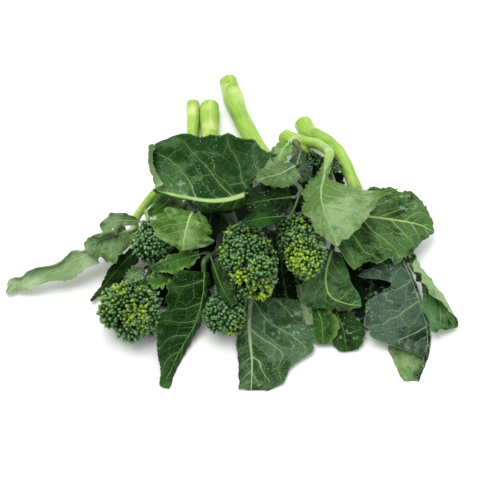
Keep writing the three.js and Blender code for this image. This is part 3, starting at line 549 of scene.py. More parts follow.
def leaf_grid(leaf):
    """Both faces' points of a leaf's grid, and the values that its material reads."""
    length = np.linalg.norm(np.diff(along(leaf["spine"], np.linspace(0, 1, 60)), axis=0), axis=1).sum()
    widest = max(*leaf["left"], *leaf["right"])
    rows = max(24, round(length / leaf["mesh_step"]))
    half = max(8, round(widest / leaf["mesh_step"]))
    s, v = np.meshgrid(np.linspace(0, 1, rows + 1), np.linspace(-1, 1, 2 * half + 1), indexing="ij")
    v = np.sign(v) * np.abs(v) ** 1.15
    middle = blade_middle(leaf, s, v)
    normal = grid_normals(middle)
    q = np.abs(v)
    width = half_width(leaf, s, v)
    across = q * width
    lanes = vein_lanes(leaf, s, v)
    pitch = lane_width(lanes, middle, half)
    from_vein = np.abs(lanes - np.round(lanes)) * pitch
    gully = np.exp(-((from_vein / 1.1) ** 2)) * smooth_step(0, 0.15, q) * (1 - 0.6 * q)
    puff = leaf["puff"] * (0.55 - gully) + leaf["pucker"] * puckers(leaf, v * width, s * length)
    puff = puff * smooth_step(0.02, 0.2, q) * (1 - smooth_step(0.85, 1, q))
    rib_width = RIB_HALF_WIDTH * (1 - 0.75 * s) * (0.4 + 0.6 * leaf["rib"])
    rib = np.exp(-((across / rib_width) ** 2))
    depth = RIB_DEEP * (1 - 0.85 * s) * leaf["rib"] * rib
    side_rib = 0.35 * leaf["rib"] * np.exp(-((from_vein / 0.6) ** 2)) * (1 - q) * smooth_step(0, 0.1, q)
    thick = FINE_THICK * (1 - 0.45 * smooth_step(0.8, 1, q))
    groove = 0.25 * rib * leaf["rib"] * smooth_step(0, 0.1, s)
    top = middle + normal * (thick / 2 + puff - groove)[..., None]
    bottom = middle + normal * (puff - thick / 2 - depth - side_rib)[..., None]
    looks_up = normal[..., 2] > 0
    top[..., 2] = np.maximum(top[..., 2], np.where(looks_up, TABLE_GAP + 0.3, TABLE_GAP))
    bottom[..., 2] = np.maximum(bottom[..., 2], np.where(looks_up, TABLE_GAP, TABLE_GAP + 0.3))
    across = across / leaf["midrib"]
    # Painted shade over each half, rising from the midrib.
    painted_shade = np.where(v < 0, leaf["painted_shade"][0], leaf["painted_shade"][1]) * smooth_step(0, 0.12, q)
    return dict(top=top, bottom=bottom, across=across, reach=q, lane=lanes, pitch=pitch, along=s, painted_shade=painted_shade)


def lane_width(lanes, points, middle_column):
    """Distance from one side vein to the next, square to them, at each point of a blade's grid."""
    halves = (slice(None, middle_column), slice(middle_column, None))
    width = np.empty_like(lanes)
    for half in halves:
        part, places = lanes[:, half], points[:, half]
        steps = [np.linalg.norm(np.gradient(places, axis=a), axis=-1) for a in (0, 1)]
        slope = np.hypot(*(np.gradient(part, axis=a) / np.maximum(steps[a], 1e-3) for a in (0, 1)))
        width[:, half] = 1 / np.maximum(slope, 0.02)
    return width


def leaf_piece(name, leaf, material):
    """One leaf: a flat sheet given its thickness, whose vertices then move to their places on the blade."""
    grid = leaf_grid(leaf)
    rows, columns = grid["reach"].shape
    bm = bmesh.new()
    bmesh.ops.create_grid(bm, x_segments=columns - 1, y_segments=rows - 1, size=1)
    bmesh.ops.solidify(bm, geom=bm.faces[:], thickness=0.1)
    flat = np.array([v.co for v in bm.verts])
    row = np.rint((flat[:, 1] + 1) / 2 * (rows - 1)).astype(int)
    column = np.rint((flat[:, 0] + 1) / 2 * (columns - 1)).astype(int)
    under = np.abs(flat[:, 2]) > 0.05
    places = in_metres(np.where(under[:, None], grid["bottom"][row, column], grid["top"][row, column]))
    for vertex, place in zip(bm.verts, places):
        vertex.co = place
    bmesh.ops.recalc_face_normals(bm, faces=bm.faces[:])
    if bm.calc_volume(signed=True) < 0:
        bmesh.ops.reverse_faces(bm, faces=bm.faces[:])
    for face in bm.faces:
        face.smooth = True
    sharp = math.radians(60)
    for edge in bm.edges:
        edge.smooth = edge.calc_face_angle(0) < sharp
    piece = object_from(name, bm, [material])
    store(piece.data, "under", under)
    for key in ("across", "reach", "lane", "pitch", "along", "painted_shade"):
        store(piece.data, key, grid[key][row, column])
    return piece


# Stalks and petioles

JOINT_GAP = 1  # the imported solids' gap between a leaf and its petiole, which the fine stalks close
RUN_IN_SHARE = 0.4
RUN_ON = 9  # how far a fine petiole runs on as its leaf's midrib
SKIN_STEP = 0.6  # mesh size of a stalk's skin
ALL_AXES = dict(use_axis_x=True, use_axis_y=True, use_axis_z=True)
CENTRE_STEP = 1.0  # spacing of the points on a stalk's centreline
BATCH = 4000  # vertices of a skin that are measured at a time
# Swellings of a stalk: distance from the cut, spread and strength.
KNOBS = {"long": [(14, 4.5, 0.16), (25, 5, -0.07)], "short": [(9, 4, 0.1)]}
# How far from its cut a stalk runs in under the leaves and is painted dark green as shade, and over what
# length.
SHADED_FROM = {"left_thin": 106, "middle": 35, "under": 16, "long": 64, "short": 18, "right": 82}
PAINTED_SHADE_LENGTH = 14
# Painted shade on the petioles under the leaves.
PETIOLE_PAINTED_SHADE = 0.9  # how dark the petioles under the leaves are, from 0 to 1
PETIOLE_START = 200  # added along the petioles, so that they have no pale cut end
# Pale marks on the skin: place and spread.
SCARS = [
    ((2.4, 135, 10), 4),
    ((6, 131, 9), 4.5),
    ((-26, 121, 8), 4.5),
    ((-12.5, 105, 9), 4),
    ((41, 91, 14), 3.5),
    ((37, 87, 12), 2.5),
]
# Petioles in the open, which are left without painted shade.
OPEN_PETIOLES = ("pale_flap", "node_leaf", "left_long", "left_folded", "left_small")


def target_of(tube):
    """Where a petiole or stalk arrives: the point, the way it runs there, and where its blade looks."""
    if "leaf" in tube:
        leaf = {**LEAF_DEFAULTS, **LEAVES[tube["leaf"]]}
        forward = direction_along(leaf["spine"], 0)
        up = square_to(along(leaf["face"], 0), forward)
        return along(leaf["spine"], 0) + up * (BLADE_THICK / 2 - tube["radii"][-1]), forward, up
    head = HEADS[tube["head"]]
    forward = unit(np.array(head["axis"], float))
    return np.array(head["centre"], float) - forward * head["size"][2], forward, None


def centreline(tube):
    """Points along a tube's middle every millimetre or so, and its radius at each of them."""
    points = [np.array(p, float) for p in tube["path"]]
    arrives = "leaf" in tube or "head" in tube
    if arrives:
        start, forward, up = target_of(tube)
        run_in = RUN_IN_SHARE * np.linalg.norm(start - points[-1])
        points += [start - forward * run_in, start - forward * JOINT_GAP]
    t = np.linspace(0, 1, max(4, round(length_of(points) / CENTRE_STEP)))
    line, radii = along(points, t), along(tube["radii"], t)
    if not arrives:
        return line, radii
    if up is None:
        reach = 0.7 * HEADS[tube["head"]]["size"][2]
        line_end = start + forward * np.linspace(1, reach, 8)[:, None]
        thin = radii[-1] * np.linspace(1, 0.8, 8)
        return np.concatenate([line, line_end]), np.concatenate([radii, thin])
    spine = LEAVES[tube["leaf"]]["spine"]
    share = min(RUN_ON / length_of(spine), 0.3)
    steps = np.linspace(0.12, 1, 8)
    thin = radii[-1] * (1 - 0.6 * steps)
    below = up * (BLADE_THICK / 2 - (BLADE_THICK - FINE_THICK) / 2 - 0.1 - thin)[:, None]
    line_end = along(spine, steps * share) + below
    return np.concatenate([line, line_end]), np.concatenate([radii, thin])


def length_of(points):
    """Length of the smooth curve through the points."""
    return np.linalg.norm(np.diff(along(points, np.linspace(0, 1, 80)), axis=0), axis=1).sum()


def stalk_piece(stalk, tubes, material):
    """One stalk with its petioles: tubes under one skin, so that each fork has a smooth crotch."""
    name = stalk + "_stems"
    rng = random.Random(name)
    curve = bpy.data.curves.new(name + "_lines", "CURVE")
    curve.dimensions = "3D"
    curve.bevel_depth = MM
    curve.bevel_resolution = 4
    curve.use_fill_caps = True
    lines = []
    for k, tube in enumerate(tubes):
        line, radii = centreline(tube)
        reach = np.arange(len(line)) * CENTRE_STEP
        radii = radii * (1 + 0.035 * wobble(rng, reach / 60, 3))
        if k > 0:
            radii = radii * (1 + 0.35 * np.exp(-((reach / 4) ** 2)))
            # Painted shade: petioles under the leaves are darkened, open ones are not.
            painted_stalk_shade = np.full(len(reach), 0 if tube.get("leaf") in OPEN_PETIOLES else PETIOLE_PAINTED_SHADE)
        else:
            for place, spread, swelling in KNOBS.get(stalk, []):
                radii = radii * (1 + swelling * np.exp(-(((reach - place) / spread) ** 2)))
            # Painted shade: the stalk turns dark green where it runs in under the leaves.
            painted_stalk_shade = smooth_step(SHADED_FROM[stalk], SHADED_FROM[stalk] + PAINTED_SHADE_LENGTH, reach)
        spline = curve.splines.new("POLY")
        spline.points.add(len(line) - 1)
        for point, place, radius in zip(spline.points, in_metres(line), radii):
            point.co = (*place, 1)
            point.radius = radius
        lines.append((line, radii, reach + (0 if k == 0 else PETIOLE_START), painted_stalk_shade))
    drawn = bpy.data.objects.new(name + "_lines", curve)
    bpy.context.scene.collection.objects.link(drawn)
    raw = bpy.data.objects.new(name + "_raw", bpy.data.meshes.new_from_object(drawn))
    bpy.context.scene.collection.objects.link(raw)
    skin = raw.modifiers.new("skin", "REMESH")
    skin.mode = "VOXEL"
    skin.voxel_size = SKIN_STEP * MM
    mesh = bpy.data.meshes.new_from_object(raw.evaluated_get(bpy.context.evaluated_depsgraph_get()))
    bm = bmesh.new()
    bm.from_mesh(mesh)
    for spare in (drawn, raw):
        bpy.data.objects.remove(spare)
    bpy.data.meshes.remove(mesh)
    for _ in range(3):
        bmesh.ops.smooth_vert(bm, verts=bm.verts[:], factor=0.5, **ALL_AXES)
    for vertex in bm.verts:
        vertex.co.z = max(vertex.co.z, TABLE_GAP * MM)
    for face in bm.faces:
        face.smooth = True
    piece = object_from(name, bm, [material])
    read_tubes(piece.data, lines)
    return piece


def read_tubes(mesh, lines):
    """Tells each vertex of a stalk where it lies on its tube: how far along it, and where round it."""
    vertices = np.array([v.co for v in mesh.vertices])
    centres, radii, lengthwise, painted_stalk_shade = (np.concatenate(parts) for parts in zip(*lines))
    middle = in_metres(centres)
    forward = np.concatenate([unit(np.gradient(line, axis=0)) for line, *_ in lines])
    nearest = np.empty(len(vertices), int)
    for start in range(0, len(vertices), BATCH):
        part = slice(start, start + BATCH)
        distance = np.linalg.norm(vertices[part, None, :] - middle[None], axis=2)
        nearest[part] = np.argmin(distance - radii * MM, axis=1)
    out = (vertices - middle[nearest]) / MM
    across = unit(np.cross(forward, UP))[nearest]
    upward = np.cross(across, forward[nearest])
    grain = np.stack([(out * across).sum(1), (out * upward).sum(1), lengthwise[nearest]], axis=1)
    store(mesh, "grain", grain)
    store(mesh, "from_cut", lengthwise[nearest] + (out * forward[nearest]).sum(1))
    store(mesh, "slim", radii[nearest])
    store(mesh, "painted_stalk_shade", painted_stalk_shade[nearest])
    scarred = np.zeros(len(vertices))
    for place, spread in SCARS:
        away = np.linalg.norm(vertices - in_metres(place), axis=1) / MM
        scarred = np.maximum(scarred, np.exp(-((away / spread) ** 2)))
    store(mesh, "scarred", scarred)


# Flower heads
# core: size of the solid middle as a share of the head; clumps: how many clumps of buds cover it.
# clump: their size against CLUMP_RADIUS; long: how long the buds are.
# fan: how far the clumps lean away from the hub; hub: how far behind the head's middle the hub lies.
# ripe: yellow spots, as place, spread and strength; stray: share of the other buds that are yellow.
# light: how much paler than usual the buds are, from 0 to 1.

GOLDEN_ANGLE = math.pi * (3 - math.sqrt(5))
FLORET_DEPTH = 0.16
BUD_RADIUS = 1.08
CLUMP_RADIUS = 4.2
SMALL_CLUMP = 2.6  # below this radius a clump has fewer and smaller buds
CLUMP_BUDS = 17  # on a clump of the usual size
HEAD_DEFAULTS = dict(
    core=0.8, clumps=40, clump=1, long=1.35, fan=0, hub=0.75, ripe=[], stray=0.06, light=0,
)
HEAD_LOOKS = {
    "middle": dict(
        clumps=92,
        ripe=[((5, -36, 36), 9, 0.9), ((17, -40, 28), 8, 0.8), ((-3, -26, 36), 7, 0.5)],
    ),
    "right": dict(clumps=74, ripe=[((38, -20, 36), 8, 0.75), ((46, -24, 30), 6, 0.5)]),
    "front": dict(clumps=42, stray=0.02, light=0.25, ripe=[((4, -50, 14), 6, 0.4)]),
    "left": dict(
        size=(18, 15.2, 17.4),
        clumps=82, clump=0.86, core=0.55, long=1.75, fan=1.4, hub=1.5, stray=0.03, light=0.3,
        ripe=[((-62, -34, 26), 9, 0.5), ((-50, -48, 24), 8, 0.4), ((-68, -40, 18), 8, 0.55)],
    ),
    "back_left": dict(clumps=38, stray=0, light=0.75),
    "young": dict(clumps=12, clump=0.5, core=0.7),
    "shoot": dict(clumps=11, clump=0.42, core=0.7, stray=0),
}


def spiral_directions(count, start, end):
    """Evenly spread directions on a ball, from z = start down to z = end."""
    z = np.linspace(start, end, count)
    turn = np.arange(count) * GOLDEN_ANGLE
    r = np.sqrt(1 - z * z)
    return np.stack([r * np.cos(turn), r * np.sin(turn), z], axis=1)


def head_axes(head):
    """The head's own axes: across, upward, and the way it grew."""
    axis = unit(np.array(head["axis"], float))
    across = unit(np.cross(UP, axis))
    return np.stack([across, np.cross(axis, across), axis])


def head_surface(head, directions):
    """Points of the head's lobed outer shape, in its own axes, in each direction from its middle."""
    florets = spiral_directions(head["florets"], 0.98, -0.35)
    spacing = math.sqrt(4 * math.pi / (1.5 * head["florets"])) / 1.6
    nearest = np.arccos(np.clip(directions @ florets.T, -1, 1)).min(axis=1)
    lobe = np.exp(-((nearest / spacing) ** 2))
    z = directions[:, 2]
    back = np.maximum(-z, 0)
    reach = 1 - FLORET_DEPTH * (1 - lobe) * (1 - back)
    girth = np.maximum(1 - z * z, 0.01) ** -0.17 * (1 - 0.3 * back)
    stretch = np.stack([reach * girth, reach * girth, reach], axis=1)
    return directions * np.array(head["size"], float) * stretch


def in_bunch(head, local):
    """Points in a head's own axes, as places in the bunch."""
    return np.array(head["centre"], float) + local @ head_axes(head)


def placed(place, direction, spin, sizes):
    """A shape's transform: sizes along its own axes, a turn of +Z to the direction, and its place."""
    turn = Vector(direction).to_track_quat("Z", "Y").to_matrix().to_4x4()
    scale = Matrix.Diagonal((*(Vector(sizes) * MM), 1))
    return Matrix.Translation(Vector(in_metres(place))) @ turn @ Matrix.Rotation(spin, 4, "Z") @ scale


def mark(bm, vertices, **values):
    """Gives new vertices the values that the head's material reads."""
    layers = [(bm.verts.layers.float[key], value) for key, value in values.items()]
    for vertex in vertices:
        for layer, value in layers:
            vertex[layer] = value


HEAD_VALUES = ("tip", "stem", "ripe", "shade", "core")


def new_bunch_mesh():
    """An empty mesh that can hold the head material's values."""
    bm = bmesh.new()
    for key in HEAD_VALUES:
        bm.verts.layers.float.new(key)
    return bm


def add_bud(bm, place, direction, radius, length, spin, ripe, shade):
    """A closed bud, drawn in towards a blunt tip."""
    ball = bmesh.ops.create_uvsphere(bm, u_segments=6, v_segments=4, radius=1)["verts"]
    tip = bm.verts.layers.float["tip"]
    for vertex in ball:
        z = vertex.co.z
        vertex[tip] = (z + 1) / 2
        vertex.co.xy *= 1 - 0.22 * z - 0.1 * z * z
    mark(bm, ball, ripe=ripe, shade=shade, core=0, stem=0)
    matrix = placed(place, direction, spin, (radius, radius, length))
    bmesh.ops.transform(bm, matrix=matrix, verts=ball)


def add_stem(bm, start, end, radius, sides, taper, ripe, shade):
    """A thin straight stem between two points."""
    reach = end - start
    matrix = placed((start + end) / 2, reach, 0, (radius, radius, np.linalg.norm(reach)))
    made = bmesh.ops.create_cone(
        bm, cap_ends=True, segments=sides, radius1=1, radius2=taper, depth=1, matrix=matrix
    )
    mark(bm, made["verts"], ripe=ripe, shade=shade, core=0, stem=1, tip=0.5)


def clump_mesh(rng, base, normal, radius, long, ripe, stray, shade):
    """A dome of buds facing along normal, larger and looser towards its rim."""
    bm = new_bunch_mesh()
    large = radius > SMALL_CLUMP
    count = round(CLUMP_BUDS * (radius / CLUMP_RADIUS) ** 2) if large else 10
    bud_radius = BUD_RADIUS if large else 0.65
    facing = Vector(normal).to_track_quat("Z", "Y").to_matrix()
    widest = math.radians(78)
    for k in range(count):
        tilt = widest * math.sqrt((k + 0.5) / count) + rng.gauss(0, 0.06)
        turn = k * GOLDEN_ANGLE + rng.gauss(0, 0.25)
        outward = (math.sin(tilt) * math.cos(turn), math.sin(tilt) * math.sin(turn), math.cos(tilt))
        direction = np.array(facing @ Vector(outward))
        share = tilt / widest
        size = bud_radius * (0.75 + 0.35 * share) * rng.uniform(0.78, 1.2)
        place = base + direction * radius * rng.uniform(0.85, 1.15)
        lean = unit(direction + normal * 0.35 + np.array([rng.gauss(0, 0.12) for _ in range(3)]))
        length = size * long * rng.uniform(0.85, 1.15) * (1 + 0.25 * share)
        bud_ripe = ripe + rng.gauss(0, 0.6 * ripe + 0.05) + (0.5 if rng.random() < stray else 0)
        bud_ripe = min(1, max(0, bud_ripe))
        bud_shade = 0.5 * shade + 0.5 * rng.random()
        add_bud(bm, place, lean, size, length, rng.uniform(0, 6), bud_ripe, bud_shade)
        add_stem(bm, base, place - lean * length * 0.7, 0.35, 3, 1, bud_ripe, bud_shade)
    return bm


def clump_ripeness(head, place, rng):
    """How yellow a clump's buds are: near 1 round the head's ripe spots, and a little anywhere else."""
    ripe = max(0.0, rng.gauss(0, 2.5 * head["stray"]))
    for spot, spread, strength in head["ripe"]:
        distance = np.linalg.norm(place - np.array(spot, float))
        ripe = max(ripe, strength * math.exp(-((distance / spread) ** 2)) * rng.uniform(0.6, 1.1))
    return min(ripe, 1.0)


def head_piece(name, head, material):
    """One flower head: clumps of buds on short stems, over a core that the stalk runs into, whose near-black
    colour is painted shade between the clumps.
    """
    rng = random.Random(name)
    bm = new_bunch_mesh()
    core = bmesh.ops.create_icosphere(bm, subdivisions=4, radius=1)["verts"]
    directions = unit(np.array([v.co for v in core]))
    places = in_bunch(head, head_surface(head, directions) * head["core"])
    for vertex, place in zip(core, in_metres(places)):
        vertex.co = place
    mark(bm, core, ripe=0, shade=0, core=1, stem=0, tip=0)
    size = np.array(head["size"], float)
    directions = spiral_directions(head["clumps"], 0.985, -0.5)
    directions = unit(directions + np.array([[rng.gauss(0, 0.06) for _ in range(3)] for _ in directions]))
    hub = in_bunch(head, np.array([0, 0, -head["hub"] * size[2]]))
    for direction, out in zip(directions, head_surface(head, directions)):
        normal = unit(out / size**2) @ head_axes(head)
        normal = unit(normal + head["fan"] * unit(in_bunch(head, out) - hub))
        radius = CLUMP_RADIUS * head["clump"] * rng.uniform(0.72, 1.25)
        base = in_bunch(head, out) - normal * (radius + rng.uniform(-1.4, 3.4))
        ripe = clump_ripeness(head, base, rng)
        shade = rng.random() * (1 - head["light"]) + head["light"]
        if direction[2] < 0.35 or head["fan"]:
            start = hub + rng.uniform(0, 0.4) * (base - hub)
            add_stem(bm, start, base, 0.75, 6, 0.7, 0.3, shade)
        clump = clump_mesh(rng, base, normal, radius, head["long"], ripe, head["stray"], shade)
        mesh = bpy.data.meshes.new(name + "_clump")
        clump.to_mesh(mesh)
        clump.free()
        bm.from_mesh(mesh)
        bpy.data.meshes.remove(mesh)
    for vertex in bm.verts:
        vertex.co.z = max(vertex.co.z, TABLE_GAP * MM)
    for face in bm.faces:
        face.smooth = True
    return object_from(name, bm, [material])


# Shader nodes

BRIGHT_ROOM = 0.8  # a surface in the bright room looks lighter than it is, by one part in this


def colour(red, green, blue):
    """A colour as it looks in the room, from 0 to 255, as the linear colour that a shader takes."""
    return (*(BRIGHT_ROOM * ((c / 255 + 0.055) / 1.055) ** 2.4 for c in (red, green, blue)), 1)


class Value:
    """What a shader node puts out. Sums and products of values are Math nodes in the same tree."""

    def __init__(self, tree, socket):
        self.tree = tree
        self.socket = socket

    def __add__(self, other):
        return maths(self.tree, "ADD", self, other)

    def __sub__(self, other):
        return maths(self.tree, "SUBTRACT", self, other)

    def __rsub__(self, other):
        return maths(self.tree, "SUBTRACT", other, self)

    def __mul__(self, other):
        return maths(self.tree, "MULTIPLY", self, other)


def feed(node, inputs):
    """Sets a node's sockets, given by name or number, to constants or to what other nodes put out."""
    for socket, value in dict(inputs).items():
        if isinstance(value, Value):
            value.tree.links.new(value.socket, node.inputs[socket])
        else:
            node.inputs[socket].default_value = value


def put(tree, kind, inputs=(), **settings):
    """Adds a node and feeds its sockets. The result is a dictionary of what it puts out."""
    node = tree.nodes.new("ShaderNode" + kind)
    for key, value in settings.items():
        setattr(node, key, value)
    feed(node, inputs)
    return {socket.identifier: Value(tree, socket) for socket in node.outputs}


def maths(tree, operation, *values):
    """The result of a Math node on the values."""
    return put(tree, "Math", dict(enumerate(values)), operation=operation)["Value"]


def smaller(first, second):
    """The smaller of two values."""
    return maths(first.tree, "MINIMUM", first, second)


def larger(first, second):
    """The larger of two values."""
    return maths(first.tree, "MAXIMUM", first, second)


def rising(low, high, value):
    """0 where the value is below low, 1 where it is above high, with a smooth change between."""
    inputs = {"Value": value, "From Min": low, "From Max": high}
    return put(value.tree, "MapRange", inputs, interpolation_type="SMOOTHSTEP")["Result"]


def mixed(share, first, second):
    """The first colour where share is 0, the second where it is 1."""
    both = [c if isinstance(c, Value) else colour(*c) for c in (first, second)]
    inputs = {0: share, 6: both[0], 7: both[1]}
    return put(share.tree, "Mix", inputs, data_type="RGBA")["Result_Color"]


def coated(skin, coats):
    """A colour under further ones, each given as its mask, its strength and its colour."""
    for mask, strength, tint in coats:
        skin = mixed(mask * strength, skin, tint)
    return skin


def read(tree, name, kind="Fac"):
    """One of the values stored on a piece's vertices."""
    return put(tree, "Attribute", attribute_name=name)[kind]


def place_in(tree):
    """The place on the piece, in metres."""
    return put(tree, "TexCoord")["Object"]


def noise(vector, scale, detail=2.0):
    """Soft random values round 0.5, on a vector in metres."""
    return put(vector.tree, "TexNoise", {"Vector": vector, "Scale": scale, "Detail": detail})["Fac"]


def cell_walls(vector, scale):
    """Distance to the nearest wall between random cells."""
    inputs = {"Vector": vector, "Scale": scale}
    return put(vector.tree, "TexVoronoi", inputs, feature="DISTANCE_TO_EDGE")["Distance"]


def new_group(name, inputs, outputs):
    """An empty shader group. inputs: its numbers and their usual values; outputs: names of its results."""
    group = bpy.data.node_groups.new(name, "ShaderNodeTree")
    for label, value in inputs.items():
        socket = group.interface.new_socket(label, in_out="INPUT", socket_type="NodeSocketFloat")
        socket.default_value = value
    for label in outputs:
        group.interface.new_socket(label, in_out="OUTPUT", socket_type="NodeSocketFloat")
    taken = group.nodes.new("NodeGroupInput").outputs
    given = group.nodes.new("NodeGroupOutput")
    return group, {label: Value(group, taken[label]) for label in inputs}, given


def use_group(tree, group, inputs=()):
    """Places a shader group in a material, and gives what it puts out."""
    outputs = put(tree, "Group", inputs, node_tree=group)
    return {value.socket.name: value for value in outputs.values()}


def new_material(name, **settings):
    """A material with the settings that are the same all over, its node tree and its shader."""
    material = bpy.data.materials.new(name)
    material.use_nodes = True
    shader = material.node_tree.nodes["Principled BSDF"]
    feed(shader, {socket.replace("_", " "): value for socket, value in settings.items()})
    return material, material.node_tree, shader


def finish(shader, skin, rough, height, strength, distance):
    """Gives a shader its colour and roughness, and a relief of the given strength and depth in metres."""
    inputs = {"Height": height, "Strength": strength, "Distance": distance}
    normal = put(height.tree, "Bump", inputs)["Normal"]
    feed(shader, {"Base Color": skin, "Roughness": rough, "Normal": normal})


# Materials


def vein_group():
    """Masks of a leaf's veins, from the values on its vertices: side veins wander and fork into a net."""
    inputs = {"Widest": 0.38, "Share": 0.026}
    group, taken, given = new_group("leaf veins", inputs, ("Veins", "Midrib", "Net", "Near"))
    position = place_in(group)
    reach, pitch, length = (read(group, key) for key in ("reach", "pitch", "along"))
    lane = read(group, "lane") + (noise(position, 75, 3) - 0.5) * (reach * 0.55 + 0.18)
    from_side = maths(group, "PINGPONG", lane, 0.5) * pitch
    thin = smaller(taken["Share"] * pitch, taken["Widest"]) * (1.2 - reach)
    side = rising(thin * 1.5, thin * 0.5, from_side)
    net_place = put(group, "CombineXYZ", {"X": lane, "Y": reach * 2.6})["Vector"]
    forks = rising(thin * 1.3, thin * 0.3, cell_walls(net_place, 1.15) * pitch) * 0.42
    fading = smaller(rising(1.0, 0.86, reach), rising(1.0, 0.9, length))
    midrib_width = 1.05 - length * 0.85
    masks = {
        "Veins": larger(side, forks) * fading,
        "Midrib": rising(midrib_width, midrib_width * 0.5, read(group, "across")),
        "Net": rising(0.14, 0.0, cell_walls(position, 420)),
        "Near": rising(3.2, 0.0, from_side),
    }
    feed(given, masks)
    return group


def speck_group():
    """Masks of what lies in drifts on the leaves: small drops and wax specks, and thin wet smears, painted
    pale as wax and as glints and sheen of the water.
    """
    group, taken, given = new_group("specks", {"Amount": 0.8}, ("Specks", "Smears"))
    position = place_in(group)
    cells = put(group, "TexVoronoi", {"Vector": position, "Scale": 620})
    dot = rising(0.24, 0.1, cells["Distance"])
    chance = put(group, "SeparateColor", {"Color": cells["Color"]})["Red"]
    drift = rising(0.4, 0.66, noise(position, 45, 3))
    chosen = rising(0.0, 0.05, drift * taken["Amount"] - chance)
    smear = rising(0.56, 0.66, noise(position, 300, 4))
    patch = rising(0.58, 0.68, noise(position, 32, 1))
    feed(given, {"Specks": dot * chosen, "Smears": smear * patch * 0.6})
    return group


# For each finish: dark and light of the upper side, veins, midrib, edge, dark and light of the underside.
LEAF_COLOURS = {
    "deep": (
        (8, 54, 4), (84, 130, 78), (158, 192, 122), (182, 214, 132), (104, 142, 92),
        (106, 142, 84), (160, 192, 134),
    ),
    "green": (
        (4, 44, 0), (76, 116, 64), (158, 194, 108), (180, 214, 124), (112, 154, 78),
        (84, 122, 58), (132, 166, 102),
    ),
    "bloom": (
        (28, 66, 24), (80, 114, 78), (158, 188, 132), (176, 206, 150), (100, 132, 92),
        (84, 118, 66), (130, 160, 112),
    ),
    "lush": (
        (4, 44, 2), (54, 96, 46), (108, 150, 82), (130, 172, 96), (96, 138, 70),
        (40, 78, 24), (84, 122, 62),
    ),
    # Painted shade: the finish of leaves deep in the pile, darkened to stand for the shade there.
    "shade": (
        (1, 14, 0), (38, 78, 26), (70, 114, 48), (92, 136, 64), (62, 106, 42),
        (20, 54, 10), (60, 98, 44),
    ),
    "rim": (
        (10, 46, 4), (64, 108, 42), (96, 142, 64), (112, 156, 74), (146, 190, 92),
        (40, 82, 22), (96, 138, 66),
    ),
    "blue": (
        (4, 28, 8), (76, 102, 82), (140, 168, 124), (140, 168, 120), (112, 142, 102),
        (104, 138, 80), (152, 182, 120),
    ),
    "grey": (
        (62, 98, 44), (124, 154, 108), (158, 184, 126), (168, 194, 134), (140, 168, 112),
        (76, 108, 54), (126, 154, 110),
    ),
    "pale": (
        (84, 116, 62), (130, 158, 112), (162, 190, 124), (160, 194, 122), (150, 178, 116),
        (96, 136, 64), (148, 180, 124),
    ),
    "silver": (
        (124, 154, 100), (176, 202, 158), (176, 200, 146), (170, 198, 140), (160, 186, 130),
        (120, 150, 92), (168, 192, 146),
    ),
    "young": (
        (60, 104, 26), (134, 170, 106), (158, 194, 112), (180, 218, 130), (146, 188, 82),
        (94, 136, 58), (146, 178, 104),
    ),
}
# Where an edge's colour begins and where it is full, as shares of the half width.
RIMS = {"rim": (0.45, 0.95)}
USUAL_RIM = (0.965, 0.995)
# How many specks of water and wax lie on a finish.
WATER = {"blue": 2.2}
USUAL_WATER = 0.8
# Pale colour of the specks and smears: partly the wax, partly painted glints and sheen of the water.
SPECK_AND_GLINT = (190, 212, 190)


def leaf_material(name, veins, specks):
    """A waxy leaf: mottled green above and paler below, with pale veins and a fine net between them; painted
    shade darkens its base and its darkened halves, and its pale specks are partly painted glints.
    """
    dark, light, vein, rib, edge, under_dark, under_light = LEAF_COLOURS[name]
    material, tree, shader = new_material("leaf " + name, Specular_IOR_Level=0.05)
    position = place_in(tree)
    masks = use_group(tree, veins)
    spots = use_group(tree, specks, {"Amount": WATER.get(name, USUAL_WATER)})
    specks_and_glints = larger(spots["Specks"], spots["Smears"])
    under = read(tree, "under")
    patches = noise(position, 28) + noise(position, 110) * 0.7 + noise(position, 420) * 0.4
    # Darker towards each blade's base: painted shade where the blades curl away from the light.
    tone = rising(0.91, 1.19, patches) * rising(-0.3, 0.35, read(tree, "along"))
    fine = noise(position, 1100, 3)
    margin = rising(*RIMS.get(name, USUAL_RIM), read(tree, "reach"))
    upper = coated(mixed(tone, dark, light), [(masks["Near"], 0.1, vein)])
    coats = [
        (rising(0.48, 0.7, fine), 0.3, light),
        (rising(0.52, 0.3, fine), 0.35, dark),
        (masks["Net"], 0.08, vein),
        (masks["Veins"], 0.85, vein),
        (margin, 0.6, edge),
        # painted shade over the leaf's darkened halves
        (read(tree, "painted_shade"), 0.85, dark),
        (masks["Midrib"], 0.9, rib),
        # pale specks and smears: partly wax, partly painted glints and sheen
        (specks_and_glints, 0.62, SPECK_AND_GLINT),
    ]
    blade = coated(mixed(under, upper, mixed(tone, under_dark, under_light)), coats)
    relief = larger(masks["Veins"], masks["Midrib"]) + masks["Net"]
    grain = noise(position, 1400, 3) * 0.25
    blisters = noise(position, 230, 3) * 1.6
    height = relief * (under * 2 - 1) + (grain + blisters) + specks_and_glints
    finish(shader, blade, under * 0.14 + tone * 0.12 + 0.4, height, 0.5, 0.0004)
    return material


